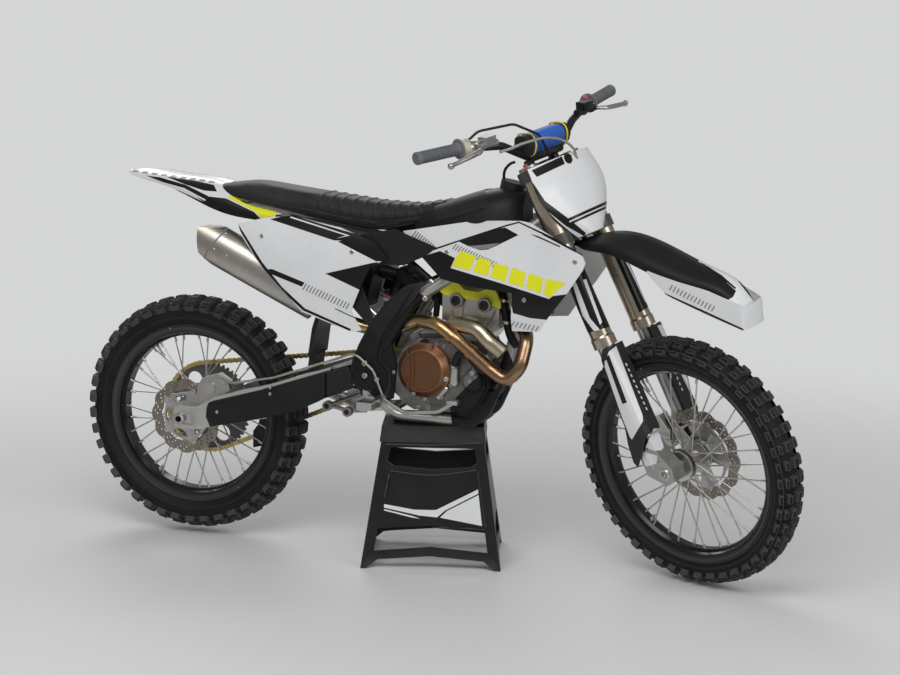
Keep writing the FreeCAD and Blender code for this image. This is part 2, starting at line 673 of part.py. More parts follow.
def chain():
    """Closed run of links, wide and narrow at the pins in turn, with a groove inside where it lies on a sprocket."""
    pins = chain_pins()
    count = len(pins)
    h = LINK_HEIGHT / 2
    g = GROOVE_HALF
    faces = []

    def spot(i, up, y):
        place, out, _ = pins[i % count]
        return place + out * up + SIDE * y

    def half(i):
        return LINK_WIDE if i % 2 else LINK_NARROW

    def grooved(i):
        return pins[i % count][2] or pins[(i + 1) % count][2]

    for i in range(count):
        w = half(i)
        v = half(i + 1)
        faces.append(facet([spot(i, h, -w), spot(i, h, w), spot(i + 1, h, v), spot(i + 1, h, -v)]))
        for s in (-1, 1):
            faces.append(facet([spot(i, -h, s * w), spot(i, h, s * w), spot(i + 1, h, s * v)]))
            faces.append(facet([spot(i, -h, s * w), spot(i + 1, h, s * v), spot(i + 1, -h, s * v)]))
        if grooved(i):
            for s in (-1, 1):
                faces.append(facet([spot(i, -h, s * g), spot(i, -h, s * w), spot(i + 1, -h, s * v), spot(i + 1, -h, s * g)]))
                faces.append(facet([spot(i, -h, s * g), spot(i, GROOVE_TOP, s * g), spot(i + 1, GROOVE_TOP, s * g),
                                    spot(i + 1, -h, s * g)]))
            faces.append(facet([spot(i, GROOVE_TOP, -g), spot(i, GROOVE_TOP, g), spot(i + 1, GROOVE_TOP, g),
                                spot(i + 1, GROOVE_TOP, -g)]))
        else:
            near = [spot(i, -h, -g), spot(i, -h, g)] if grooved(i - 1) else []
            far = [spot(i + 1, -h, g), spot(i + 1, -h, -g)] if grooved(i + 1) else []
            faces.append(facet([spot(i, -h, -w)] + near + [spot(i, -h, w), spot(i + 1, -h, v)] + far
                               + [spot(i + 1, -h, -v)]))
        if grooved(i) != grooved(i - 1):
            faces.append(facet([spot(i, -h, -g), spot(i, -h, g), spot(i, GROOVE_TOP, g), spot(i, GROOVE_TOP, -g)]))
    return sewn(faces)


# Engine and exhaust

def crankcase():
    """Closed engine block with its rounded right and left covers, the round ignition cover and the pump."""
    body = slab([(640, 476), (690, 440), (884, 440), (926, 486), (936, 560), (900, 640), (800, 655), (700, 650),
                 (660, 604), (640, 580)], -ENGINE_HALF, ENGINE_HALF)
    right = slab([(655, 500), (676, 462), (712, 444), (860, 444), (900, 470), (926, 520), (918, 588), (880, 628),
                  (820, 646), (720, 640), (680, 612), (660, 570)], -104, -ENGINE_HALF)
    rim = slab([(661, 502), (681, 466), (714, 450), (858, 450), (896, 475), (920, 522), (912, 585), (876, 622),
                (818, 640), (722, 634), (685, 608), (666, 569)], -112, -104)
    left = slab([(712, 446), (884, 446), (926, 500), (925, 580), (880, 632), (770, 640), (712, 600)], ENGINE_HALF, 98)
    cover = turned([(0, 98), (70, 98), (70, 112), (60, 122), (0, 126)], at(846, 0, 540))
    pump = turned([(0, -112), (30, -112), (28, -124), (18, -134), (0, -136)], at(884, 0, 540))
    spout = rod(at(884, -122, 548), at(900, -124, 592), 11)
    elbow = rod(at(898, -122, 586), at(930, -110, 606), 13)
    drain = cross_rod(760, 456, -120, -104, 9)
    pivots = [cross_rod(x, z, -66, 66, 14) for x, z in ((700, 640), (912, 600))]
    return joined([body, right, rim, left, cover, pump, spout, elbow, drain] + pivots)


def clutch_cover():
    """Bevelled round cover with a filler cap at its top and two ribs."""
    body = turned([(0, -112), (76, -112), (76, -126), (58, -143), (55, -143), (54, -140), (0, -140)], at(748, 0, 560))
    cap = cross_rod(764, 624, -138, -112, 13)
    ribs = [slab([(x, 508), (x + 6, 508), (x + 10, 540), (x + 10, 580), (x + 4, 612), (x - 2, 612), (x + 4, 580),
                  (x + 4, 540)], -142, -139) for x in (704, 716)]
    return joined([body, cap] + ribs)


def cylinder():
    """Barrel and head, with the round ends of the two camshafts and the spark plug recess on the right."""
    barrel = slab([(790, 640), (905, 640), (926, 668), (922, 694), (786, 694)], -66, 66)
    head = slab([(780, 694), (930, 690), (944, 700), (944, 752), (780, 780)], -72, 72)
    ports = [cross_rod(x, z, -78, 78, 19) for x, z in ((812, 758), (906, 742))]
    plugs = [cross_rod(x, z, -84, -78, 12) for x, z in ((812, 758), (906, 742))]
    recess = slab([(836, 700), (888, 698), (884, 734), (840, 740)], -80, -64)
    exhaust = rod(at(930, -30, 712), at(952, -32, 711), 25)
    inlet = rod(at(796, 20, 716), at(774, 24, 722), 25)
    return joined([head.cut(recess), barrel, exhaust, inlet] + ports + plugs)


def valve_cover():
    """Cast cover with a waved lower edge, raised over each camshaft."""
    outline = [(776, 786), (776, 772), (792, 764), (832, 764), (850, 758), (886, 754), (902, 744), (934, 742),
               (950, 736), (950, 752), (936, 784), (912, 790), (884, 778), (846, 782), (826, 800), (790, 800)]
    return slab(outline, -80, 80)


def header_pipe():
    """Loop from the head, down outside the frame and back over the clutch cover to the silencer."""
    path = [at(952, -32, 711), at(1006, -44, 700), at(1034, -104, 660), at(1026, -134, 590), at(988, -136, 548),
            at(938, -136, 580), at(850, -146, 655), at(787, -138, 694), at(724, -100, 692), at(652, -64, 666),
            at(560, -66, 656), at(462, -86, 680)]
    tube = pipe(path, 19, 55)
    bands = [rod(at(x0, y0, z0), at(x1, y1, z1), 21.5)
             for (x0, y0, z0), (x1, y1, z1) in (((893, -141, 618), (882, -142.4, 627)), ((840, -145, 660), (829, -143.6, 667)))]
    return joined([tube] + bands)


def resonance_can():
    """Side chamber: a wide elbow that lies over the header and ends in a capped round."""
    return pipe([at(824, -112, 692), at(868, -128, 692), at(905, -140, 688), at(944, -146, 654), at(976, -140, 628)], 22, 40)


def silencer():
    """Oval can, its rear cap cut upright at the back and level at the top, and a cone to the pipe."""
    slope = radians(24.8)
    along = FreeCAD.Vector(cos(slope), 0, -sin(slope))
    foot = at(116, -86, 862)
    section = Part.Ellipse(FreeCAD.Vector(0, 0, 0), 58, 47).toShape()
    wire = Part.Wire([section])
    wire.Placement = FreeCAD.Placement(FreeCAD.Vector(0, 0, 0), FreeCAD.Rotation(SIDE, 90 + 24.8))
    wire.translate(foot - along * 120)
    can = Part.Face(wire).extrude(along * 446)
    trim = slab([(66, 918), (66, 845), (98, 812), (600, 560), (600, 900), (180, 918)], -150, -20)
    can = can.common(trim)
    nose = foot + along * 326
    neck = cone(nose, nose + along * 60, 46, 21)
    hole = rod(foot - along * 120, foot + along * 40, 24)
    lip = ring(foot - along * 46, foot - along * 20, 28, 24)
    return joined([can, neck, lip]).cut(hole)


def airbox():
    """Filter box under the seat with its inlet boot, and the mud flap that hangs behind the shock."""
    box = slab([(300, 900), (420, 890), (545, 862), (560, 800), (536, 706), (430, 760), (330, 850)], -30, 66)
    boot = pipe([at(540, 42, 806), at(660, 56, 778), at(774, 24, 722)], 19, 60)
    flap = slab([(372, 560), (384, 640), (424, 764), (436, 758), (396, 636), (386, 560)], -52, 60)
    foot = slab([(366, 520), (372, 562), (388, 562), (382, 516)], -40, 40)
    return joined([box, boot, flap, foot])


# Bodywork

def tank():
    stations = [(690, 925, 1000, 52, 0.8), (780, 880, 1016, 84, 0.8), (880, 860, 1050, 100, 0.75),
                (955, 866, 1060, 90, 0.7), (998, 905, 1046, 48, 0.7)]
    return lofted([crowned(x, low, top, half, crown) for x, low, top, half, crown in stations])


def tank_cap():
    return rod(at(950, 0, 1050), at(956, 0, 1076), 34)


def seat():
    stations = [(106, 1006, 1040, 62, 0.75), (180, 990, 1046, 84, 0.78), (330, 962, 1028, 90, 0.78),
                (480, 936, 1012, 88, 0.76), (580, 926, 1002, 82, 0.74), (690, 950, 1000, 70, 0.72),
                (790, 990, 1018, 60, 0.7), (880, 1008, 1022, 44, 0.7)]
    body = lofted([crowned(x, low, top, half, crown) for x, low, top, half, crown in stations])
    return body.cut([tank()], SEAM)


def rear_fender():
    stations = [(-184, 1058, 1066, 58), (-100, 1036, 1062, 76), (0, 1008, 1052, 88), (90, 972, 1040, 95),
                (180, 950, 1010, 98), (290, 930, 990, 96)]
    sections = []
    for x, low, top, half in stations:
        points = [(-half, low), (-half * 0.93, low + (top - low) * 0.6), (-half * 0.55, top - 2), (0, top),
                  (half * 0.55, top - 2), (half * 0.93, low + (top - low) * 0.6), (half, low)]
        sections.append(strip(x, points, -4.0))
    return lofted(sections)


def shroud_shell():
    """Left shroud's curved wall: y against z at stations along the bike."""
    stations = [(660, 88, 104, 100, 84), (800, 108, 128, 118, 88), (930, 122, 148, 132, 92),
                (1060, 138, 160, 152, 134), (1220, 144, 162, 162, 156)]
    sections = []
    for x, low, mid, high, top in stations:
        points = [(low, 670), (mid, 790), (high, 890), (top, 995)]
        sections.append(strip(x, points, 4.0))
    return lofted(sections)


def shroud():
    """Side scoop: main wall with a lower lobe at the front, and a crease where it folds in to the radiator."""
    outline = [(672, 936), (870, 973), (1015, 983), (1045, 980), (1129, 942), (1196, 908), (1206, 885), (1199, 866),
               (1157, 801), (1100, 726), (1079, 693), (1002, 688), (1001, 724), (1006, 793), (896, 800), (826, 809),
               (793, 816), (730, 873)]
    wall = shroud_shell().common(slab(outline, 60, 180))
    stays = [cross_rod(1020, z, 112, 152, 6) for z in (740, 860)]
    return joined([wall] + stays)


def radiators():
    """Two cores with their side tanks and header tanks."""
    core = slab([(1000, 700), (1040, 703), (1020, 880), (980, 877)], 60, 112)
    tanks = [slab([(996, 700), (1046, 704), (1042, 722), (992, 718)], 57, 116),
             slab([(978, 860), (1026, 864), (1023, 882), (975, 878)], 57, 116)]
    hose = rod(at(1018, 84, 704), at(1008, 70, 676), 14)
    return both(joined([core, hose] + tanks))


def side_panel():
    """Number side: a thin curved wall with bosses to the rail behind it."""
    outline = [(186, 933), (264, 953), (345, 962), (498, 938), (600, 905), (640, 862), (589, 835), (556, 764),
               (533, 710), (565, 658), (534, 653), (390, 700), (274, 817), (204, 899)]
    stations = [(170, 138, 128, 96), (300, 140, 138, 98), (450, 138, 140, 96), (660, 122, 128, 90)]
    sections = []
    for x, low, mid, top in stations:
        sections.append(strip(x, [(low, 640), (low + 1, 760), (mid, 880), (top, 975)], 4.0))
    wall = lofted(sections).common(slab(outline, 60, 180))
    bosses = [cross_rod(x, z, 76, y, 7) for x, z, y in ((300, 947, 112), (420, 925, 123), (540, 905, 128))]
    return joined([wall] + bosses)


def frame_guard():
    """Moulded cover over the frame's side plate: a raised field inside a thin rim."""
    outline = [(743, 803), (700, 792), (679, 782), (630, 738), (586, 682), (551, 615), (534, 572), (522, 520),
               (546, 493), (603, 481), (633, 472), (650, 502), (647, 552), (617, 583), (628, 635), (660, 687),
               (722, 764)]
    field = [(712, 784), (684, 774), (638, 732), (596, 676), (562, 610), (546, 568), (536, 524),
             (552, 504), (603, 492), (627, 486), (638, 508), (635, 546), (606, 578), (617, 640), (652, 694)]
    bolts = [cross_rod(x, z, 118, 122, 6) for x, z in ((573, 564), (575, 528))]
    return joined([slab(outline, 112, 116), slab(field, 116, 119)] + bolts)


def skid_plate():
    """Plastic plate bent under the rails and up in front of the engine, with a side wing each side."""
    floor = slab([(640, 397), (862, 397), (884, 404), (938, 506), (932, 510), (878, 410), (862, 402), (640, 402)], -70, 70)
    wing = slab([(812, 402), (884, 404), (938, 506), (904, 500), (860, 446), (822, 430)], 70, 75)
    return joined([floor, both(wing)])


# Rear suspension and controls

def shock():
    top = at(SHOCK_TOP[0], 0, SHOCK_TOP[1])
    foot = at(SHOCK_FOOT[0], 0, SHOCK_FOOT[1])
    d = (foot - top).normalize()
    body = rod(top, top + d * 190, 22)
    collar = rod(top + d * 64, top + d * 76, 34)
    eye = cross_rod(SHOCK_TOP[0], SHOCK_TOP[1], -20, 20, 20)
    shaft = rod(top, foot, 8)
    cup = rod(foot - d * 46, foot - d * 36, 34)
    fork_end = rod(foot - d * 40, foot, 15)
    reservoir = rod(top + d * 24 + FreeCAD.Vector(34, 0, 20), top + d * 130 + FreeCAD.Vector(34, 0, 20), 19)
    neck = rod(top + d * 34, top + d * 34 + FreeCAD.Vector(34, 0, 20), 13)
    return joined([body, collar, eye, shaft, cup, fork_end, reservoir, neck])


def shock_spring():
    top = at(SHOCK_TOP[0], 0, SHOCK_TOP[1])
    foot = at(SHOCK_FOOT[0], 0, SHOCK_FOOT[1])
    d = (foot - top).normalize()
    return ring(top + d * 76, foot - d * 46, 33, 24)


def linkage():
    plate = slab([(484, 470), (516, 470), (548, 430), (540, 404), (500, 400), (474, 430)], 16, 24)
    tie = cross_rod(SHOCK_FOOT[0], SHOCK_FOOT[1], -24, 24, 7)
    pin = cross_rod(530, 418, -40, 40, 8)
    link = rod(at(530, 32, 418), at(630, 32, 430), 9)
    back = rod(at(492, 20, 424), at(410, 20, 452), 9)
    return joined([both(plate), tie, pin, both(link), both(back)])


def brake_pedal():
    arm = pipe([at(628, -124, 470), at(700, -146, 440), at(800, -148, 452), at(838, -140, 478)], 6, 50)
    pad = block(826, 856, -158, -130, 476, 486)
    boss = cross_rod(628, 470, -130, -112, 12)
    return joined([arm, pad, boss])


def shift_lever():
    arm = pipe([at(700, 122, 500), at(760, 130, 486), at(838, 132, 500)], 5.5, 30)
    boss = cross_rod(700, 500, ENGINE_HALF, 130, 9)
    toe = cross_rod(838, 500, 126, 160, 8)
    return joined([arm, boss, toe])


def footpegs():
    peg = block(584, 628, 150, 212, 452, 474)
    return both(peg)


def front_sprocket():
    centre = at(SPROCKET_X, 0, SPROCKET_Z)
    return sprocket(centre, CHAIN_Y, FRONT_TEETH, 12)


def chain_guide():
    shoe = slab([(150, 250), (230, 270), (240, 330), (210, 350), (180, 340), (150, 300)], CHAIN_Y - 16, CHAIN_Y + 14)
    hole = Part.Face(loop_outline(9.5, CHAIN_Y - 9)).extrude(SIDE * 18)
    ear = slab([(150, 300), (240, 330), (236, 400), (170, 380)], CHAIN_Y + 12, ARM_IN)
    return joined([shoe.cut(hole), ear])


def rear_brake_hose():
    path = [at(106, -84, 486), at(160, -107, 474), at(290, -107, 500), at(470, -107, 564), at(545, -128, 594),
            at(602, -131, 548), at(628, -126, 478)]
    return pipe(path, 3.5, 40)


def stand():
    """Hollow moulded stand: four corner legs, a flared cap, and side panels between an upper and a lower window."""
    base_x, base_y = STAND_BASE
    top_x, top_y = STAND_TOP
    wall = STAND_WALL
    low = rectangle(base_x, base_y, 0)
    high = rectangle(top_x, top_y, STAND_H)
    body = Part.makeLoft([low, high], True, True)
    hollow = Part.makeLoft([rectangle(base_x - 2 * wall, base_y - 2 * wall, 0),
                            rectangle(top_x - 2 * wall, top_y - 2 * wall, STAND_H - 12)], True, True)
    skirt = Part.makeLoft([rectangle(top_x + 22, top_y + 22, STAND_H - STAND_SKIRT),
                           rectangle(top_x + 10, top_y + 10, STAND_H)], True, True)
    shell = body.fuse(skirt).cut(hollow)
    for across, size_low, size_high in ((0, base_x, top_x), (1, base_y, top_y)):
        for outline in stand_windows(size_low, size_high):
            shell = shell.cut(stand_cutter(outline, across))
    shell.Placement = FreeCAD.Placement(at(STAND_X, STAND_Y, 0), FreeCAD.Rotation(FreeCAD.Vector(0, 0, 1), STAND_TURN))
    return shell


def stand_windows(size_low, size_high):
    """Side outlines of the upper window, the lower window and the arch under the bottom rail."""
    def half(z):
        return (size_low + (size_high - size_low) * z / STAND_H) / 2 - STAND_LEG

    upper = [(-half(280), 296), (-half(336), 336), (half(336), 336), (half(280), 296), (half(280) - 16, 284), (0, 276),
             (16 - half(280), 284)]
    lower = [(-half(112), 112), (0, 122), (half(112), 112), (half(48), 48), (0, 62), (-half(48), 48)]
    foot = [(-half(0) - 14, 0), (14 - half(20), 26), (0, 38), (half(20) - 14, 26), (half(0) + 14, 0)]
    return upper, lower, foot


def stand_cutter(outline, across):
    """The outline pushed through the stand, along Y or along X."""
    reach = 300
    if across:
        points = [FreeCAD.Vector(-reach, s, z) for s, z in outline]
        return facet(points).extrude(FreeCAD.Vector(2 * reach, 0, 0))
    points = [FreeCAD.Vector(s, -reach, z) for s, z in outline]
    return facet(points).extrude(FreeCAD.Vector(0, 2 * reach, 0))


def rectangle(size_x, size_y, z):
    x = size_x / 2
    y = size_y / 2
    corners = [(-x, -y), (x, -y), (x, y), (-x, y)]
    return closed([FreeCAD.Vector(a, b, z) for a, b in corners])


def chassis():
    shapes = {
        "frame": frame(),
        "crankcase": crankcase(),
        "clutch_cover": clutch_cover(),
        "cylinder": cylinder(),
        "valve_cover": valve_cover(),
        "swingarm": swingarm(),
        "rear_axle": rear_axle(),
        "rear_caliper": rear_caliper(),
        "header_pipe": header_pipe(),
        "resonance_can": resonance_can(),
        "silencer": silencer(),
        "subframe": subframe(),
        "shock": shock(),
        "shock_spring": shock_spring(),
        "linkage": linkage(),
        "airbox": airbox(),
        "arm_guards": arm_guards(),
        "tank": tank(),
        "tank_cap": tank_cap(),
        "seat": seat(),
        "rear_fender": rear_fender(),
        "radiators": radiators(),
        "shroud_left": shroud(),
        "shroud_right": mirrored(shroud()),
        "side_panel_left": side_panel(),
        "side_panel_right": mirrored(side_panel()),
        "frame_guard_left": frame_guard(),
        "frame_guard_right": mirrored(frame_guard()),
        "skid_plate": skid_plate(),
        "brake_pedal": brake_pedal(),
        "shift_lever": shift_lever(),
        "footpegs": footpegs(),
        "front_sprocket": front_sprocket(),
        "chain": chain(),
        "chain_guide": chain_guide(),
        "rear_brake_hose": rear_brake_hose(),
        "stand": stand(),
    }
    return shapes


def front_end():
    return {
        "fork_tubes": fork_tubes(),
        "fork_clamps": fork_clamps(),
        "fork_sliders": fork_sliders(),
        "fork_guards": fork_guards(),
        "front_fender": front_fender(),
        "front_plate": front_plate(),
        "handlebar": handlebar(),
        "grips": grips(),
        "bar_pad": bar_pad(),
        "brake_master": master(-1),
        "clutch_master": master(1),
        "front_caliper": front_caliper(),
        "throttle_housing": throttle_housing(),
        "throttle_cables": throttle_cables(),
    }


def settle(shapes):
    """Where two pieces of one body would share room, the later one is cut back to touch the earlier."""
    names = list(shapes)
    for i, name in enumerate(names):
        box = shapes[name].BoundBox
        near = [shapes[other] for other in names[:i] if box.intersect(shapes[other].BoundBox)]
        if near:
            shapes[name] = shapes[name].cut(near)
    return shapes


def turn_front(shape):
    shape = shape.copy()
    shape.rotate(STEER_FOOT, UP, -REST_TURN)
    return shape


def export(name, shape):
    shape = shape.copy()
    shape.translate(FreeCAD.Vector(-MID_X * STRETCH, -MID_Y, 0))
    shape.exportStep(os.path.join("parts", name + ".step"))


def report(name, shape):
    """Printed so that a loose or broken solid is seen at once."""
    print(name, shape.isValid(), len(shape.Solids))
    if len(shape.Solids) > 1:
        for solid in shape.Solids:
            box = solid.BoundBox
            limits = [box.XMin, box.XMax, box.YMin, box.YMax, box.ZMin, box.ZMax]
            print("  ", round(solid.Volume), [round(v) for v in limits])


def main():
    bodies = {"chassis": settle(chassis()), "rear_wheel": rear_wheel(), "front_end": settle(front_end()),
              "front_wheel": front_wheel()}
    whole = FreeCAD.BoundBox()
    for body, shapes in bodies.items():
        for name, shape in shapes.items():
            if body.startswith("front"):
                shape = turn_front(shape)
            report(name, shape)
            whole.add(shape.BoundBox)
            export(name, shape)
    print("whole", [round(v, 1) for v in (whole.XMin, whole.XMax, whole.YMin, whole.YMax, whole.ZMin, whole.ZMax)])


main()
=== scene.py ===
import bmesh, bpy, json, math
from math import cos, pi, radians, sin
from mathutils import Matrix, Vector
from mathutils.bvhtree import BVHTree


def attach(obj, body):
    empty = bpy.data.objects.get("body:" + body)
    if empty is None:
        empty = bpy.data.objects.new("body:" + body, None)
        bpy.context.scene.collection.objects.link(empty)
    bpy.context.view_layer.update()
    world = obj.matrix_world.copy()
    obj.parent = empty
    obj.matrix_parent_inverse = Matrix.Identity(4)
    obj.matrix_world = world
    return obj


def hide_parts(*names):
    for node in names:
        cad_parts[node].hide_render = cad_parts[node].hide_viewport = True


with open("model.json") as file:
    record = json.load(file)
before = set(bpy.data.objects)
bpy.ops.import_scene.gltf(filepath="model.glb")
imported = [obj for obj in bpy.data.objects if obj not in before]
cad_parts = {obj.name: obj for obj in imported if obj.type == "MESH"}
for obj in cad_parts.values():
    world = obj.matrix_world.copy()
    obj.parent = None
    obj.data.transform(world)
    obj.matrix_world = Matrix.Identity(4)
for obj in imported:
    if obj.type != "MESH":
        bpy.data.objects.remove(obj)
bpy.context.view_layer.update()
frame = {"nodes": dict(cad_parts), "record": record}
scene = bpy.context.scene
scene.view_settings.view_transform = "Standard"

# Driving sizes in mm and angles, as in the frame
MID_X = 727.0
RAKE = radians(26)
REST_TURN = radians(26)
AXLE_LEAD = 48.0
REAR_AXLE = (0.0, 0.0, 360.0)
FRONT_AXLE = (1475.0, 0.0, 352.0)
AXLES = {"rear": REAR_AXLE, "front": FRONT_AXLE}
CHAIN_Y = 76.0
CHAIN_PITCH = 15.875
SPROCKET = (665.0, 548.0)
REAR_PITCH_R = CHAIN_PITCH / (2 * sin(pi / 52))
FRONT_PITCH_R = CHAIN_PITCH / (2 * sin(pi / 14))

UP = Vector((-sin(RAKE), 0, cos(RAKE)))
OUT = Vector((cos(RAKE), 0, sin(RAKE)))
SIDE = Vector((0, 1, 0))


def at(x, y, z):
    """A point in the row frame, given in mm from the rear axle's foot."""
    return Vector((x - MID_X, y, z)) / 1000


STEER_FOOT = at(*FRONT_AXLE) - OUT * (AXLE_LEAD / 1000)
STEERED = Matrix.Translation(STEER_FOOT) @ Matrix.Rotation(-REST_TURN, 4, UP) @ Matrix.Translation(-STEER_FOOT)
FLIPPED = Matrix.Scale(-1, 4, (0, 1, 0))

# Camera, fitted to the photo
FOCAL_PX = 1947.62
FRAME_PX = (900, 675)
YAW, PITCH, ROLL = (radians(v) for v in (18.90, 9.78, 0.88))
EYE = at(2510.89, -5058.15, 1554.64)


# Materials

def feed(tree, socket, value):
    """Links an output into an input, or sets a constant on the input itself."""
    if isinstance(value, bpy.types.NodeSocket):
        tree.links.new(value, socket)
    else:
        socket.default_value = value


def shader(tree, kind, inputs=(), **settings):
    """A shader node with its settings and with what goes into its inputs."""
    made = tree.nodes.new("ShaderNode" + kind)
    for key, value in settings.items():
        setattr(made, key, value)
    for key, value in dict(inputs).items():
        feed(tree, made.inputs[key], value)
    return made


def ramp(tree, factor, stops):
    """Colours along a factor, from (position, colour) stops."""
    made = shader(tree, "ValToRGB", {"Fac": factor})
    elements = made.color_ramp.elements
    for i in (0, -1):
        elements[i].position, elements[i].color = stops[i][0], (*stops[i][1], 1)
    for position, color in stops[1:-1]:
        elements.new(position).color = (*color, 1)
    return made.outputs["Color"]


def shade(color, factor):
    return tuple(min(1.0, c * factor) for c in color)


GLOSS_DRIFT = 0.08
GRAIN_DEPTH = 0.0006
# Where an edge takes the paler colour, and how much of it the edge then gets; the pale edge is real wear on most
# finishes and a painted highlight on the tyre's knobs
WEAR_AND_HIGHLIGHT_FROM, WEAR_AND_HIGHLIGHT_TO, WEAR_AND_HIGHLIGHT_SHARE = 0.52, 0.60, 0.7


def finish(name, color, rough, metal, vary, scale, grain=0.0, grain_scale=900, worn=None, coat=0.0, sheen=0.0,
           shine=0.5):
    """A finish with drifting tone, uneven gloss, a fine grain and, where asked, paler edges: real wear on most
    finishes, a painted highlight on the tyre's knobs.
    """
    mat = bpy.data.materials.new(name)
    mat.use_nodes = True
    tree = mat.node_tree
    where = shader(tree, "TexCoord").outputs["Object"]
    cloud = shader(tree, "TexNoise", {"Scale": scale, "Detail": 6, "Vector": where}).outputs["Fac"]
    tone = ramp(tree, cloud, [(0.3, shade(color, 1 - vary)), (0.7, shade(color, 1 + vary))])
    # Pointiness pales the sharp edges: real wear on most finishes, a painted highlight on the tyre's knobs
    if worn:
        edge = shader(tree, "NewGeometry").outputs["Pointiness"]
        share = shader(tree, "MapRange", {"From Min": WEAR_AND_HIGHLIGHT_FROM, "From Max": WEAR_AND_HIGHLIGHT_TO, "To Max": WEAR_AND_HIGHLIGHT_SHARE,
                                          "Value": edge})
        tone = shader(tree, "Mix", {"Factor": share.outputs["Result"], "A": tone, "B": (*worn, 1)},
                      data_type="RGBA").outputs["Result"]
    gloss = shader(tree, "MapRange", {"Value": cloud, "To Min": max(0.03, rough - GLOSS_DRIFT),
                                      "To Max": min(1.0, rough + GLOSS_DRIFT)})
    inputs = {"Base Color": tone, "Roughness": gloss.outputs["Result"], "Metallic": metal, "Coat Weight": coat,
              "Coat Roughness": 0.12, "Sheen Weight": sheen, "Specular IOR Level": shine}
    if grain:
        fine = shader(tree, "TexNoise", {"Scale": grain_scale, "Detail": 3, "Vector": where})
        inputs["Normal"] = shader(tree, "Bump", {"Strength": grain, "Distance": GRAIN_DEPTH,
                                                 "Height": fine.outputs["Fac"]}).outputs["Normal"]
    for key, value in inputs.items():
        feed(tree, tree.nodes["Principled BSDF"].inputs[key], value)
    return mat


def emboss(mat, kind, scale, strength, depth, stretch=(1, 1, 1)):
    """Puts a texture's relief, in the object's own space, over the grain that a finish has."""
    tree = mat.node_tree
    normal = tree.nodes["Principled BSDF"].inputs["Normal"]
    where = shader(tree, "TexCoord").outputs["Object"]
    mapping = shader(tree, "Mapping", {"Vector": where, "Scale": stretch})
    texture = shader(tree, kind, {"Vector": mapping.outputs["Vector"], "Scale": scale})
    height = texture.outputs["Distance" if kind == "TexVoronoi" else "Fac"]
    bump = shader(tree, "Bump", {"Strength": strength, "Distance": depth, "Height": height,
                                 "Normal": normal.links[0].from_socket})
    feed(tree, normal, bump.outputs["Normal"])


def heat_tinted(name, stops, low, high, rough):
    """Metal whose heat colours run along the bike between two places in the row frame."""
    mat = finish(name, stops[0], rough, 1.0, 0.1, 25, 0.25, 500)
    tree = mat.node_tree
    where = shader(tree, "TexCoord").outputs["Object"]
    ahead = shader(tree, "SeparateXYZ", {"Vector": where}).outputs["X"]
    span = shader(tree, "MapRange", {"From Min": low, "From Max": high, "Value": ahead}).outputs["Result"]
    tint = ramp(tree, span, [(i / (len(stops) - 1), stop) for i, stop in enumerate(stops)])
    cloud = shader(tree, "TexNoise", {"Scale": 30}).outputs["Color"]
    mix = shader(tree, "Mix", {"Factor": 0.5, "A": tint, "B": cloud}, data_type="RGBA", blend_type="SOFT_LIGHT")
    feed(tree, tree.nodes["Principled BSDF"].inputs["Base Color"], mix.outputs["Result"])
    return mat


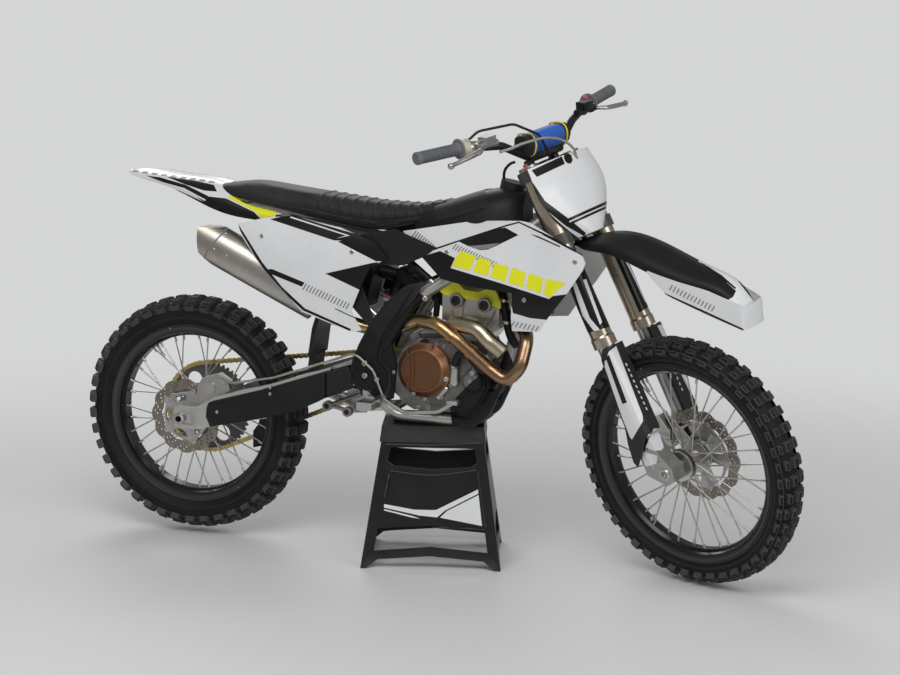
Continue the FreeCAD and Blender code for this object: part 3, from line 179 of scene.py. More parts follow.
# Colour, roughness, metal, drift of tone and its scale, grain and its scale, then what a finish has besides
WORN_BLACK = {"worn": (0.08, 0.08, 0.08), "shine": 0.4}
FINISHES = {
    "frame_silver": ((0.50, 0.49, 0.46), 0.36, 0.75, 0.08, 14, 0.15, 700, {"worn": (0.70, 0.69, 0.66)}),
    "bare_aluminium": ((0.52, 0.51, 0.49), 0.34, 1.0, 0.08, 22, 0.2, 800, {"worn": (0.76, 0.75, 0.72)}),
    "cast_grey": ((0.20, 0.196, 0.188), 0.46, 0.9, 0.22, 30, 0.6, 1400, {"worn": (0.50, 0.49, 0.47)}),
    "copper_cover": ((0.205, 0.098, 0.052), 0.34, 0.9, 0.12, 16, 0.2, 900, {"worn": (0.48, 0.26, 0.15)}),
    "yellow_cover": ((0.80, 0.77, 0.015), 0.38, 0, 0.06, 20, 0.3, 900, {"coat": 0.3}),
    "steel": ((0.46, 0.455, 0.44), 0.3, 1.0, 0.1, 30, 0.2, 900, {"worn": (0.72, 0.71, 0.69)}),
    "black_plastic": ((0.0075, 0.0075, 0.008), 0.44, 0, 0.3, 12, 0.35, 1600,
                      {"worn": (0.035, 0.035, 0.037), "shine": 0.28}),
    "white_plastic": ((0.78, 0.79, 0.80), 0.28, 0, 0.035, 7, 0.05, 900, {"coat": 0.35}),
    "seat_cover": ((0.018, 0.018, 0.0195), 0.60, 0, 0.35, 9, 0.3, 1300, {"sheen": 0.12, "shine": 0.3}),
    "tank_grey": ((0.014, 0.0145, 0.015), 0.5, 0, 0.2, 9, 0.3, 1500, {"shine": 0.3}),
    "fork_gold": ((0.50, 0.43, 0.34), 0.3, 1.0, 0.08, 16, 0.12, 700, {}),
    # The tyre's pale edges are a painted highlight on the knob tops
    "tyre": ((0.008, 0.008, 0.0085), 0.62, 0, 0.45, 14, 0.45, 900, {"worn": (0.085, 0.083, 0.080), "shine": 0.28}),
    "rim_black": ((0.006, 0.006, 0.0065), 0.22, 0, 0.2, 18, 0.1, 900, WORN_BLACK),
    "grip_grey": ((0.15, 0.155, 0.165), 0.7, 0, 0.12, 22, 0.3, 1200, {"shine": 0.35}),
    "pad_blue": ((0.012, 0.105, 0.50), 0.6, 0, 0.14, 16, 0.3, 1500, {"sheen": 0.15}),
    "bar_black": ((0.010, 0.010, 0.011), 0.32, 0, 0.25, 20, 0.15, 900, WORN_BLACK),
    "spring_white": ((0.50, 0.50, 0.49), 0.35, 0, 0.08, 18, 0.1, 900, {}),
    "chain_gold": ((0.55, 0.38, 0.12), 0.34, 1.0, 0.2, 90, 0.3, 900, {"worn": (0.80, 0.62, 0.28)}),
    "sprocket_black": ((0.009, 0.009, 0.009), 0.36, 0, 0.25, 25, 0.2, 900,
                       {"worn": (0.2, 0.195, 0.19), "shine": 0.4}),
    "radiator_black": ((0.010, 0.010, 0.011), 0.5, 0, 0.2, 20, 0.3, 900, {}),
    "hose_silver": ((0.42, 0.40, 0.36), 0.4, 0.7, 0.15, 60, 0.4, 1500, {}),
    "cream_plastic": ((0.55, 0.52, 0.42), 0.45, 0, 0.08, 20, 0.2, 900, {}),
    "hose_black": ((0.008, 0.008, 0.0085), 0.5, 0, 0.2, 30, 0.2, 900, {"shine": 0.35}),
    "disc_steel": ((0.30, 0.265, 0.225), 0.36, 1.0, 0.12, 40, 0.3, 700, {"worn": (0.5, 0.45, 0.4)}),
    "pad_black": ((0.008, 0.008, 0.009), 0.6, 0, 0.2, 16, 0.3, 1500, {"sheen": 0.1, "shine": 0.35}),
    "pad_yellow": ((0.80, 0.62, 0.03), 0.55, 0, 0.08, 16, 0.3, 1500, {}),
    "ring_red": ((0.50, 0.02, 0.02), 0.35, 0.2, 0.1, 20, 0.1, 900, {"worn": (0.7, 0.2, 0.2)}),
    "print_black": ((0.007, 0.007, 0.0075), 0.3, 0, 0.2, 12, 0, 900, {"coat": 0.1, "shine": 0.3}),
    "print_white": ((0.78, 0.79, 0.80), 0.3, 0, 0.035, 9, 0, 900, {"coat": 0.25}),
    "print_yellow": ((0.83, 0.84, 0.01), 0.3, 0, 0.05, 12, 0, 900, {"coat": 0.25}),
    "print_grey": ((0.22, 0.22, 0.23), 0.35, 0, 0.15, 30, 0, 900, {}),
    "lever_blue": ((0.02, 0.09, 0.42), 0.3, 0.5, 0.1, 20, 0.1, 900, {}),
    "stand_black": ((0.009, 0.009, 0.0095), 0.34, 0, 0.3, 10, 0.35, 1300,
                    {"worn": (0.05, 0.05, 0.052), "shine": 0.4}),
    "champagne": ((0.50, 0.43, 0.31), 0.28, 1.0, 0.12, 30, 0.15, 700, {}),
}
# Texture, its scale, strength and depth, and its stretch
RELIEFS = {
    "radiator_black": ("TexWave", 110, 0.8, 0.0012, (0.2, 0.2, 1)),
    "hose_silver": ("TexVoronoi", 900, 0.6, 0.0005),
    "seat_cover": ("TexVoronoi", 420, 0.45, 0.0006),
    "pad_blue": ("TexVoronoi", 600, 0.4, 0.0004),
}
BRONZE = [(0.46, 0.32, 0.15), (0.56, 0.41, 0.20), (0.50, 0.34, 0.16), (0.30, 0.18, 0.10), (0.35, 0.23, 0.14)]
TITANIUM = [(0.50, 0.46, 0.39), (0.56, 0.53, 0.48), (0.50, 0.48, 0.45), (0.42, 0.38, 0.33)]

MATERIALS = {name: finish(name, *values, **more) for name, (*values, more) in FINISHES.items()}
MATERIALS["pipe_bronze"] = heat_tinted("pipe_bronze", BRONZE, -0.26, 0.31, 0.26)
MATERIALS["titanium"] = heat_tinted("titanium", TITANIUM, -0.66, -0.26, 0.33)
for finish_name, relief in RELIEFS.items():
    emboss(MATERIALS[finish_name], *relief)

NODE_FINISH = {"resonance_can": "champagne", "stand": "stand_black"}


def dress_frame():
    """Gives every carried-over node the finish of its slot in the record, or its own."""
    slots = {part["node"]: part["material_slot"] for part in frame["record"]["subparts"]}
    for name, obj in frame["nodes"].items():
        for held in obj.material_slots:
            held.material = MATERIALS[NODE_FINISH.get(name, slots[name])]


# Mesh helpers

def linked(name, data):
    """A new object in the scene."""
    obj = bpy.data.objects.new(name, data)
    scene.collection.objects.link(obj)
    return obj


def place(name, mesh, body, slot, finish_name=None, front=False):
    """Makes a finished mesh a piece of a body; front steers it from straight ahead to the rest pose."""
    if front:
        mesh.transform(STEERED)
    mesh.update()
    obj = linked(name, mesh)
    mesh.materials.clear()
    mesh.materials.append(MATERIALS[finish_name or slot])
    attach(obj, body)
    return obj


def paired(name, mesh, body, slot, finish_name, both_sides=True):
    """Places a mesh, and its mirror image on the bike's other side, as one piece."""
    bm = bmesh.new()
    bm.from_mesh(mesh)
    if both_sides:
        mesh.transform(STEERED @ FLIPPED @ STEERED.inverted() if body == "front_end" else FLIPPED)
        mesh.flip_normals()
        bm.from_mesh(mesh)
    both = bpy.data.meshes.new(name)
    bm.to_mesh(both)
    bm.free()
    place(name, both, body, slot, finish_name)


def mesh_of(bm, name, angle=35):
    """Ends a bmesh as a mesh with outward faces."""
    bmesh.ops.recalc_face_normals(bm, faces=bm.faces[:])
    mesh = bpy.data.meshes.new(name)
    bm.to_mesh(mesh)
    bm.free()
    smooth(mesh, angle)
    return mesh


def put(bm, name, body, slot, finish_name=None, front=False, angle=35):
    """Places what a bmesh holds."""
    return place(name, mesh_of(bm, name, angle), body, slot, finish_name, front)


def smooth(mesh, angle):
    """Smooth faces with sharp edges where the form turns by more than the angle."""
    limit = radians(angle)
    bm = bmesh.new()
    bm.from_mesh(mesh)
    for face in bm.faces:
        face.smooth = True
    for edge in bm.edges:
        edge.smooth = len(edge.link_faces) != 2 or edge.calc_face_angle(0) < limit
    bm.to_mesh(mesh)
    bm.free()


def skin(bm, rings, closed_run=False, caps=True):
    """Quads between closed rings of points; each ring has the same count."""
    rows = [[bm.verts.new(p) for p in ring] for ring in rings]
    for a, b in zip(rows, rows[1:] + rows[:1] if closed_run else rows[1:]):
        for j in range(len(a)):
            k = (j + 1) % len(a)
            bm.faces.new((a[j], a[k], b[k], b[j]))
    if caps and not closed_run:
        bm.faces.new(rows[0][::-1])
        bm.faces.new(rows[-1])


def wheel_point(centre, r, y, a):
    """A point about an axle, at a radius, a place across and an angle up from ahead."""
    return at(centre[0] + r * cos(a), centre[1] + y, centre[2] + r * sin(a))


def basis(direction):
    """Two axes across a direction, and the direction itself."""
    direction = direction.normalized()
    other = Vector((0, 0, 1)) if abs(direction.z) < 0.9 else Vector((1, 0, 0))
    across = direction.cross(other).normalized()
    return across, direction.cross(across).normalized(), direction


def stem(bm, foot, direction, profile, segments=20, caps=True):
    """Turns a (radius, height) profile in mm about a free axis; a third value gives a ring six flats."""
    across, other, along = basis(direction)
    rings = []
    for r, h, *flats in profile:
        ring = []
        for i in range(segments):
            a = 2 * pi * i / segments
            reach = r * (cos(pi / 6) / cos((a % (pi / 3)) - pi / 6)) if flats else r
            ring.append(foot + (across * (reach * cos(a)) + other * (reach * sin(a)) + along * h) / 1000)
        rings.append(ring)
    skin(bm, rings, caps=caps)


def hex_bolt(bm, foot, direction, r, height):
    """Flanged bolt head with six flats and a dished end."""
    stem(bm, foot, direction, [(r * 1.45, 0), (r * 1.45, height * 0.18), (r, height * 0.3, True),
                               (r, height * 0.92, True), (r * 0.86, height), (r * 0.5, height),
                               (r * 0.4, height * 0.6)], 24)


def socket_bolt(bm, foot, direction, r, height):
    """Round cap with a six-sided socket."""
    stem(bm, foot, direction, [(r, 0), (r, height * 0.85), (r * 0.88, height), (r * 0.55, height, True),
                               (r * 0.5, height * 0.45, True)], 24)


def hoop(centre, across, ahead, r, segments):
    """A ring of points round a line that runs ahead; radius in mm."""
    other = ahead.cross(across)
    turns = [2 * pi * k / segments for k in range(segments)]
    return [centre + (across * cos(a) + other * sin(a)) * (r / 1000) for a in turns]


def between(a, b, c, d, t):
    """A point of the smooth line from b to c."""
    return 0.5 * (2 * b + (c - a) * t + (2 * a - 5 * b + 4 * c - d) * t * t + (3 * b - a - 3 * c + d) * t ** 3)


def smooth_line(points, steps=8):
    """A smooth line through the points, or the straight one between two."""
    if len(points) == 2:
        return list(points)
    padded = [points[0] * 2 - points[1]] + list(points) + [points[-1] * 2 - points[-2]]
    line = [between(*four, i / steps) for four in zip(padded, padded[1:], padded[2:], padded[3:])
            for i in range(steps)]
    return line + [points[-1].copy()]


def swept(bm, points, radius, segments=14):
    """A tube along a smooth line through the points, given in the row frame; radius in mm."""
    line = smooth_line(points)
    across = basis(line[1] - line[0])[0]
    rings = []
    for i, p in enumerate(line):
        ahead = (line[min(i + 1, len(line) - 1)] - line[max(i - 1, 0)]).normalized()
        across = (across - ahead * across.dot(ahead)).normalized()
        rings.append(hoop(p, across, ahead, radius, segments))
    skin(bm, rings)


def evaluated(obj):
    """The mesh of an object with its curve or its modifiers worked out."""
    return bpy.data.meshes.new_from_object(obj.evaluated_get(bpy.context.evaluated_depsgraph_get()))


def built(data, *modifiers):
    """The mesh that a curve, or a mesh under (kind, settings) modifiers, comes to."""
    holder = linked("holder", data)
    for kind, settings in modifiers:
        modifier = holder.modifiers.new(kind, kind)
        for key, value in settings.items():
            setattr(modifier, key, value)
    mesh = evaluated(holder)
    bpy.data.objects.remove(holder)
    return mesh


def plate(outlines, half_thick, bevel=0.4):
    """A flat plate in the XY plane, in mm; an outline inside another one is a hole."""
    curve = bpy.data.curves.new("plate", "CURVE")
    curve.dimensions = "2D"
    curve.fill_mode = "BOTH"
    curve.extrude = (half_thick - bevel) / 1000
    curve.bevel_depth = bevel / 1000
    curve.bevel_resolution = 1
    for outline in outlines:
        spline = curve.splines.new("POLY")
        spline.points.add(len(outline) - 1)
        for point, (x, y) in zip(spline.points, outline):
            point.co = (x / 1000, y / 1000, 0, 1)
        spline.use_cyclic_u = True
    mesh = built(curve)
    smooth(mesh, 30)
    return mesh


def polar(r, a):
    return r * cos(a), r * sin(a)


def circle(x, y, r, count=20):
    return [(x + r * cos(2 * pi * i / count), y + r * sin(2 * pi * i / count)) for i in range(count)]


def upright(centre):
    """Stands a plate's XY plane up at a point: its X forward, its Y up."""
    return Matrix.Translation(centre) @ Matrix.Rotation(pi / 2, 4, "X")


# Wheels

BLOCK_DEPTH = 16.5
CROWN_DROP = 19.0
SHOULDER_INSET = 9.0
# Even and odd pitches: the centre blocks, then the middle and the shoulder block of each side, by their shares
# of the crown's half width; a centre block also has its lean
PITCH_KINDS = [([(-0.40, -0.10, 0.02), (0.10, 0.40, -0.02)], (0.54, 0.76), (0.88, 1.09)),
               ([(-0.17, 0.17, 0)], (0.40, 0.66), (0.84, 1.05))]


def tyre(end, tip, half, rim, rim_half, pitches):
    """Block-tread tyre: moulded sidewalls and tall separate blocks, one and two by turns at the centre."""
    node, centre = end + "_tyre", AXLES[end]
    tread = tip - BLOCK_DEPTH
    edge = half - SHOULDER_INSET
    arc = (edge * edge + CROWN_DROP * CROWN_DROP) / (2 * CROWN_DROP)
    last = math.asin(edge / arc)
    bm = bmesh.new()

    def crown(s, h):
        """Radius and y at the share s of the crown's half width and h above the carcass."""
        phi = s * last
        return tread - arc * (1 - cos(phi)) + h * cos(phi), (arc + h) * sin(phi)

    low = rim + (tread - rim) * 0.5
    side = [(rim + 1, rim_half + 5), (rim + 7, rim_half + 7.5), (rim + 10, rim_half + 7), (low - 14, half - 9.6),
            (low - 11, half - 8.2), (low - 5, half - 8.0), (low - 3, half - 9.2), (low + 8, half - 8.8),
            (low + 16, half - 9.4), (low + 18, half - 8.2), (low + 20, half - 9.6)]
    crest = [crown(1 - k / 6, 0) for k in range(13)]
    inner = [(rim + 3, -rim_half + 2), (low, -half + 18), (tread - 12, 0), (low, half - 18),
             (rim + 3, rim_half - 2)]
    profile = side + crest + [(r, -y) for r, y in reversed(side)] + inner
    turns = pitches * 3
    skin(bm, [[wheel_point(centre, r, y, 2 * pi * i / turns) for r, y in profile] for i in range(turns)], True)

    def block(s0, s1, a0, a1, lean, height, cut):
        """One block between two shares of the crown and two angles; cut narrows its top."""
        ds, da = cut / (arc * last), cut / tip
        rings = []
        for inset, h in ((-1.6, -1.5), (-0.3, 2.4), (0.6, height - 1.0), (1.3, height), (3.6, height),
                         (4.2, height - 1.1)):
            near_s, far_s, near_a, far_a = s0 + inset * ds, s1 - inset * ds, a0 + inset * da, a1 - inset * da
            ring = []
            for s, a in ((near_s, near_a), (far_s, near_a), (far_s, far_a), (near_s, far_a)):
                r, y = crown(s, h)
                ring.append(wheel_point(centre, r, y, a + lean * (s - (s0 + s1) / 2)))
            rings.append(ring)
        skin(bm, rings)

    step = 2 * pi / pitches
    for i in range(pitches):
        centres, middle, shoulder = PITCH_KINDS[i % 2]
        for s0, s1, lean in centres:
            block(s0, s1, (i + 0.23) * step, (i + 0.77) * step, lean, BLOCK_DEPTH, 1.1)
        stop = (i + 0.74) * step
        for s in (-1, 1):
            block(*sorted((s * middle[0], s * middle[1])), (i + 0.22) * step, stop, s * 0.02,
                  BLOCK_DEPTH - 0.6, 1.1)
            block(*sorted((s * shoulder[0], s * shoulder[1])), (i + 0.20) * step, stop, 0, BLOCK_DEPTH - 2.4, 1.0)
    piece = put(bm, end + "_knobbly", end + "_wheel", "tyre", front=end == "front", angle=28)
    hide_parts(node)


SPOKES = 36
RIM_WELL = 24
NIPPLE_TIP = 44


def nipples(end, rim, rim_y):
    """Spoke nipples, the valve and the rim lock's nut on the inner face of the rim."""
    centre, well = AXLES[end], rim - RIM_WELL
    bm = bmesh.new()
    for i in range(SPOKES):
        a = 2 * pi * i / SPOKES
        s = 1 if i % 2 else -1
        foot = wheel_point(centre, well, s * rim_y, a)
        tip = wheel_point(centre, rim - NIPPLE_TIP, s * (rim_y + 2.2), a)
        stem(bm, foot, tip - foot, [(4.4, -3), (4.4, 0), (3.4, 1.5), (3.2, 15), (2.6, 18), (2.2, 18.5)], 12)
    a = 2 * pi * (SPOKES // 3 + 0.5) / SPOKES
    foot = wheel_point(centre, well, 0, a)
    stem(bm, foot, at(*centre) - foot, [(8, -3), (8, 2), (4.2, 3), (4, 16), (3.0, 17), (3.0, 30), (4.4, 31),
                                        (4.4, 42), (2.5, 43)], 14)
    foot = wheel_point(centre, well, 0, a + pi * 0.62)
    inward = at(*centre) - foot
    hex_bolt(bm, foot - inward.normalized() * 0.003, inward, 8, 12)
    stem(bm, foot, inward, [(4, 0), (4, 24), (3.2, 25)], 14)
    put(bm, end + "_nipples", end + "_wheel", "steel", front=end == "front")


DISC_BAND = 34
# Depth of the wave outside and inside, then how far in each row of holes lies and the radius of its holes
PETAL_DIP, INNER_DIP = 6.5, 4
DISC_HOLES = [(9.5, 3.1), (17, 3.3), (24.5, 3.1)]
CARRIER_ARMS = 5
# Angle from a window's middle, and how far in from the band or out from the hub's hole its edge lies
WINDOW_OUTER = [(-0.40, 15), (-0.2, 12), (0, 11), (0.2, 12), (0.40, 15)]
WINDOW_INNER = [(0.36, 13), (0, 9), (-0.36, 13)]


def brake_disc(end, y, r, hole, petals):
    """Wavy ring drilled all round, carried by a spider with open windows and a round bolt at each arm."""
    name, node, body, centre = end + "_petal_disc", end + "_disc", end + "_wheel", AXLES[end]
    front = end == "front"
    stand_up = upright(wheel_point(centre, 0, y, 0))
    band = r - DISC_BAND
    outer, inner, holes = [], [], []
    for i in range(petals * 12):
        a = 2 * pi * i / (petals * 12)
        wave = 0.5 + 0.5 * cos(a * petals)
        outer.append(polar(r - PETAL_DIP * (1 - wave) ** 1.6, a))
        inner.append(polar(band + INNER_DIP * wave, a))
    for i in range(petals * 2):
        for k, (depth, size) in enumerate(DISC_HOLES):
            a = pi * i / petals + (k - 1) * 0.085 + (0.05 if i % 2 else 0)
            holes.append(circle(*polar(r - depth, a), size, 12))
    ring_mesh = plate([outer, inner] + holes, 2.0)
    ring_mesh.transform(stand_up)
    piece = place(name, ring_mesh, body, "steel", "disc_steel", front)
    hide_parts(node)
    rim_out, windows = [], []
    for i in range(CARRIER_ARMS * 16):
        a = 2 * pi * i / (CARRIER_ARMS * 16)
        wave = 0.5 + 0.5 * cos(a * CARRIER_ARMS)
        rim_out.append(polar(band - 7 + 13 * wave ** 6, a))
    for i in range(CARRIER_ARMS):
        a = 2 * pi * (i + 0.5) / CARRIER_ARMS
        windows.append([polar(band - depth, a + b) for b, depth in WINDOW_OUTER]
                       + [polar(hole + depth, a + b) for b, depth in WINDOW_INNER])
    carrier = plate([rim_out, circle(0, 0, hole, 40)] + windows, 3.2, 0.8)
    carrier.transform(stand_up)
    bm = bmesh.new()
    bm.from_mesh(carrier)
    for i in range(CARRIER_ARMS):
        a = 2 * pi * i / CARRIER_ARMS
        for s in (-1, 1):
            stem(bm, wheel_point(centre, band + 2, y + s * 2.6, a), SIDE * s,
                 [(7, 0), (7, 1.2), (5.5, 1.8), (3, 1.8), (2.6, 1.0)], 18)
            hex_bolt(bm, wheel_point(centre, hole + 6, y + s * 3, a + 0.3), SIDE * s, 4.4, 3.2)
    put(bm, name + "_carrier", body, "steel", "bare_aluminium", front)


# Chain and hub parts

def chain_line():
    """Pin places evenly along the line round both pitch circles, each with whether it is on the rear sprocket."""
    rear_r, front_r = REAR_PITCH_R, FRONT_PITCH_R
    ax, az = REAR_AXLE[0], REAR_AXLE[2]
    bx, bz = SPROCKET
    length = math.hypot(bx - ax, bz - az)
    slope = math.atan2(bz - az, bx - ax)
    lean = math.asin((rear_r - front_r) / length)
    run = length * cos(lean)
    upper, lower = slope + pi / 2 - lean, slope - pi / 2 + lean
    front_wrap, rear_wrap = front_r * (pi - 2 * lean), rear_r * (pi + 2 * lean)
    total = 2 * run + front_wrap + rear_wrap
    count = 2 * round(total / CHAIN_PITCH / 2)

    def pin(share, a):
        """A place between the rear circle and the front one, both at the angle a."""
        r = rear_r + (front_r - rear_r) * share
        return ax + (bx - ax) * share + r * cos(a), az + (bz - az) * share + r * sin(a)

    pins = []
    for i in range(count):
        s = total * i / count
        on_rear = s >= 2 * run + front_wrap
        if s < run:
            place_of = pin(s / run, upper)
        elif s < run + front_wrap:
            place_of = pin(1, upper - (s - run) / front_r)
        elif not on_rear:
            place_of = pin(1 - (s - run - front_wrap) / run, lower)
        else:
            place_of = pin(0, lower - (s - 2 * run - front_wrap) / rear_r)
        pins.append((place_of, on_rear))
    return pins


LINK_R = 7.0
LINK_WAIST = 0.72
INNER_PLATE, OUTER_PLATE, ROLLER_HALF = (4.3, 6.3), (6.6, 8.6), 4.4


def make_chain():
    """Side plates with waists, pins and rollers; no roller is drawn where the rear sprocket's teeth pass."""
    pins = chain_line()
    bm = bmesh.new()

    def side_plate(a, b, y0, y1):
        angle = math.atan2(b[1] - a[1], b[0] - a[0])
        middle = (a[0] + b[0]) / 2, (a[1] + b[1]) / 2
        outline = []
        for (x, z), start in ((a, angle + pi / 2), (b, angle - pi / 2)):
            for k in range(9):
                t = start + pi * k / 8
                outline.append((x + LINK_R * cos(t), z + LINK_R * sin(t)))
            outline.append((middle[0] - LINK_R * LINK_WAIST * cos(start), middle[1] - LINK_R * LINK_WAIST * sin(start)))
        skin(bm, [[at(x, y, z) for x, z in outline] for y in (y0, y1)])

    for i, (here, on_rear) in enumerate(pins):
        ahead = pins[(i + 1) % len(pins)][0]
        near, far = OUTER_PLATE if i % 2 else INNER_PLATE
        for s in (-1, 1):
            side_plate(here, ahead, CHAIN_Y + s * near, CHAIN_Y + s * far)
            stem(bm, at(here[0], CHAIN_Y + s * 8.4, here[1]), SIDE * s, [(2.6, 0), (2.6, 1.2), (1.9, 1.6)], 10)
        if not on_rear:
            stem(bm, at(here[0], CHAIN_Y - ROLLER_HALF, here[1]), SIDE, [(5.0, 0), (5.0, 2 * ROLLER_HALF)], 10)
    piece = put(bm, "chain_links", "chassis", "chain_gold", angle=30)
    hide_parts("chain")


SPROCKET_FACE_Y = CHAIN_Y + 2.9
SPROCKET_BOLT_R = 62
REAR_NUT_Y = 123.6
FRONT_NUT_Y = 107


def sprocket_bolts():
    """The rear sprocket's bolts and the front sprocket's washer."""
    bm = bmesh.new()
    for i in range(6):
        hex_bolt(bm, wheel_point(REAR_AXLE, SPROCKET_BOLT_R, SPROCKET_FACE_Y, pi / 3 * i + pi / 6), SIDE, 6.5, 7)
    put(bm, "sprocket_bolts", "rear_wheel", "steel")
    bm = bmesh.new()
    stem(bm, at(SPROCKET[0], SPROCKET_FACE_Y, SPROCKET[1]), SIDE,
         [(16, 0), (16, 3), (13, 4), (9, 4), (8.5, 1)], 30)
    put(bm, "sprocket_washer", "chassis", "steel")


def hub_bolts():
    """The rear axle's nuts, open in the middle."""
    bm = bmesh.new()
    for s in (-1, 1):
        stem(bm, wheel_point(REAR_AXLE, 0, s * REAR_NUT_Y, 0), SIDE * s,
             [(16.5, 0, True), (16.5, 3, True), (15.2, 4.2, True), (9.8, 4.2), (9.2, 0.5)], 24, False)
    put(bm, "axle_nuts", "chassis", "steel")


# Soft pieces

CLOTH_FRAMES = 20
CLOTH = {"vertex_group_mass": "hold", "use_pressure": True, "tension_stiffness": 25, "compression_stiffness": 25,
         "bending_stiffness": 4}
MOST_SWELL = 0.008


def inflate(obj, pinned, pressure):
    """Presses the cover out like foam under cloth; vertices where pinned(co) holds stay put."""
    before = [v.co.copy() for v in obj.data.vertices]
    group = obj.vertex_groups.new(name="hold")
    group.add([v.index for v in obj.data.vertices if pinned(v.co)], 1.0, "REPLACE")
    cloth = obj.modifiers.new("cloth", "CLOTH")
    for key, value in CLOTH.items():
        setattr(cloth.settings, key, value)
    cloth.settings.uniform_pressure_force = pressure
    cloth.settings.effector_weights.gravity = 0
    scene.frame_start, scene.frame_end = 1, CLOTH_FRAMES
    for frame_no in range(1, CLOTH_FRAMES + 1):
        scene.frame_set(frame_no)
    settled = evaluated(obj)
    scene.frame_set(1)
    obj.modifiers.remove(cloth)
    obj.vertex_groups.remove(group)
    for v, old in zip(settled.vertices, before):
        move = v.co - old
        if move.length > MOST_SWELL:
            v.co = old + move * (MOST_SWELL / move.length)
    return settled


def soft_cover(mesh, voxel, pinned, pressure):
    """Even mesh, pressed out by cloth, then one subdivision."""
    base = built(mesh, ("REMESH", {"mode": "VOXEL", "voxel_size": voxel, "use_smooth_shade": True}),
                 ("SMOOTH", {"iterations": 4, "factor": 0.5}))
    obj = linked("cover", base)
    base = inflate(obj, pinned, pressure)
    bpy.data.objects.remove(obj)
    return built(base, ("SUBSURF", {"levels": 1}))


# The seat's low edge, top and half width at places along the bike, in mm
SEAT = [(106, 1006, 1040, 62), (180, 990, 1046, 84), (330, 962, 1028, 90), (480, 936, 1012, 88),
        (580, 926, 1002, 82), (690, 950, 1000, 70), (790, 990, 1018, 60), (880, 1008, 1022, 44)]
SEAT_STEPS, SEAT_VOXEL, SEAT_HELD = 6, 0.006, 0.006
RIBBED, RIB_PITCH, RIB_HEIGHT = (400, 800), 32, 0.0026
SEAM_LEVEL, SEAM_END, SEAM_DEPTH = 0.40, 860, 0.0018


def seat_at(x):
    """The seat's low edge, top and half width, x mm ahead of the rear axle."""
    for (x0, *a), (x1, *b) in zip(SEAT, SEAT[1:]):
        if x <= x1:
            t = max(0.0, (x - x0) / (x1 - x0))
            return [p + (q - p) * t for p, q in zip(a, b)]
    return SEAT[-1][1:]


def crowned_ring(x, low, top, half, count=28):
    """Closed cross-section of the seat at x: flat below, rounded shoulders above."""
    mid = (low + top) / 2
    ring = []
    for i in range(count):
        c, s = cos(2 * pi * i / count), sin(2 * pi * i / count)
        rise = (top - mid) * s ** 0.8 if s > 0 else -(mid - low) * abs(s) ** 0.6
        ring.append(at(x, half * math.copysign(abs(c) ** 0.62, c), mid + rise))
    return ring


def make_seat():
    """Foam seat under a grained cover: cross ribs where the rider sits, and a sewn line along each side below."""
    rings = []
    for (x0, *_), (x1, *_) in zip(SEAT, SEAT[1:]):
        for k in range(SEAT_STEPS):
            x = x0 + (x1 - x0) * k / SEAT_STEPS
            low, top, half = seat_at(x)
            rings.append(crowned_ring(x, low + 1, top - 4, half - 3))
    x, low, top, half = SEAT[-1]
    rings.append(crowned_ring(x, low + 1, top - 3, half - 2))
    bm = bmesh.new()
    skin(bm, rings)
    cover = soft_cover(mesh_of(bm, "seat_cover", 60), SEAT_VOXEL,
                       lambda co: co.z < seat_at(co.x * 1000 + MID_X)[0] / 1000 + SEAT_HELD, 3.0)
    normals = [v.normal.copy() for v in cover.vertices]
    for v, normal in zip(cover.vertices, normals):
        x = v.co.x * 1000 + MID_X
        low, high = (z / 1000 for z in seat_at(x)[:2])
        level = (v.co.z - low) / max(0.01, high - low)
        if RIBBED[0] < x < RIBBED[1]:
            cycle = ((x - RIBBED[0]) % RIB_PITCH) / RIB_PITCH
            rib = max(0.0, 1 - abs(cycle - 0.5) / 0.22)
            side = min(1.0, max(0.0, (level - 0.45) / 0.12))
            v.co += normal * (RIB_HEIGHT * (rib * rib * (3 - 2 * rib)) * side)
        if x < SEAM_END:
            v.co -= normal * (SEAM_DEPTH * max(0.0, 1 - abs(level - SEAM_LEVEL) / 0.05))
    smooth(cover, 70)
    piece = place("seat_cover", cover, "chassis", "seat_cover")
    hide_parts("seat")


# The pad's section in x and z, where its middle part ends, where its ends end and the voxels of its mesh
PAD = [(1008, 1180), (1010, 1214), (1022, 1224), (1054, 1226), (1068, 1216), (1072, 1196), (1064, 1174),
       (1050, 1167), (1020, 1168)]
PAD_MIDDLE = [sum(values) / len(PAD) for values in zip(*PAD)]
PAD_HALF, PAD_END, PAD_VOXEL = 66, 87, 0.0045
# Past or short of these places across, in m, the cloth is held
MIDDLE_HELD, END_HELD = 0.060, 0.068


def pad_ring(y, grow):
    cx, cz = PAD_MIDDLE
    return [at(cx + (x - cx) * grow, y, cz + (z - cz) * grow) for x, z in PAD]


def pad_block(y0, y1, grow):
    count = max(2, int(abs(y1 - y0) / 8))
    bm = bmesh.new()
    skin(bm, [pad_ring(y0 + (y1 - y0) * k / count, grow) for k in range(count + 1)])
    return mesh_of(bm, "pad_block", 60)


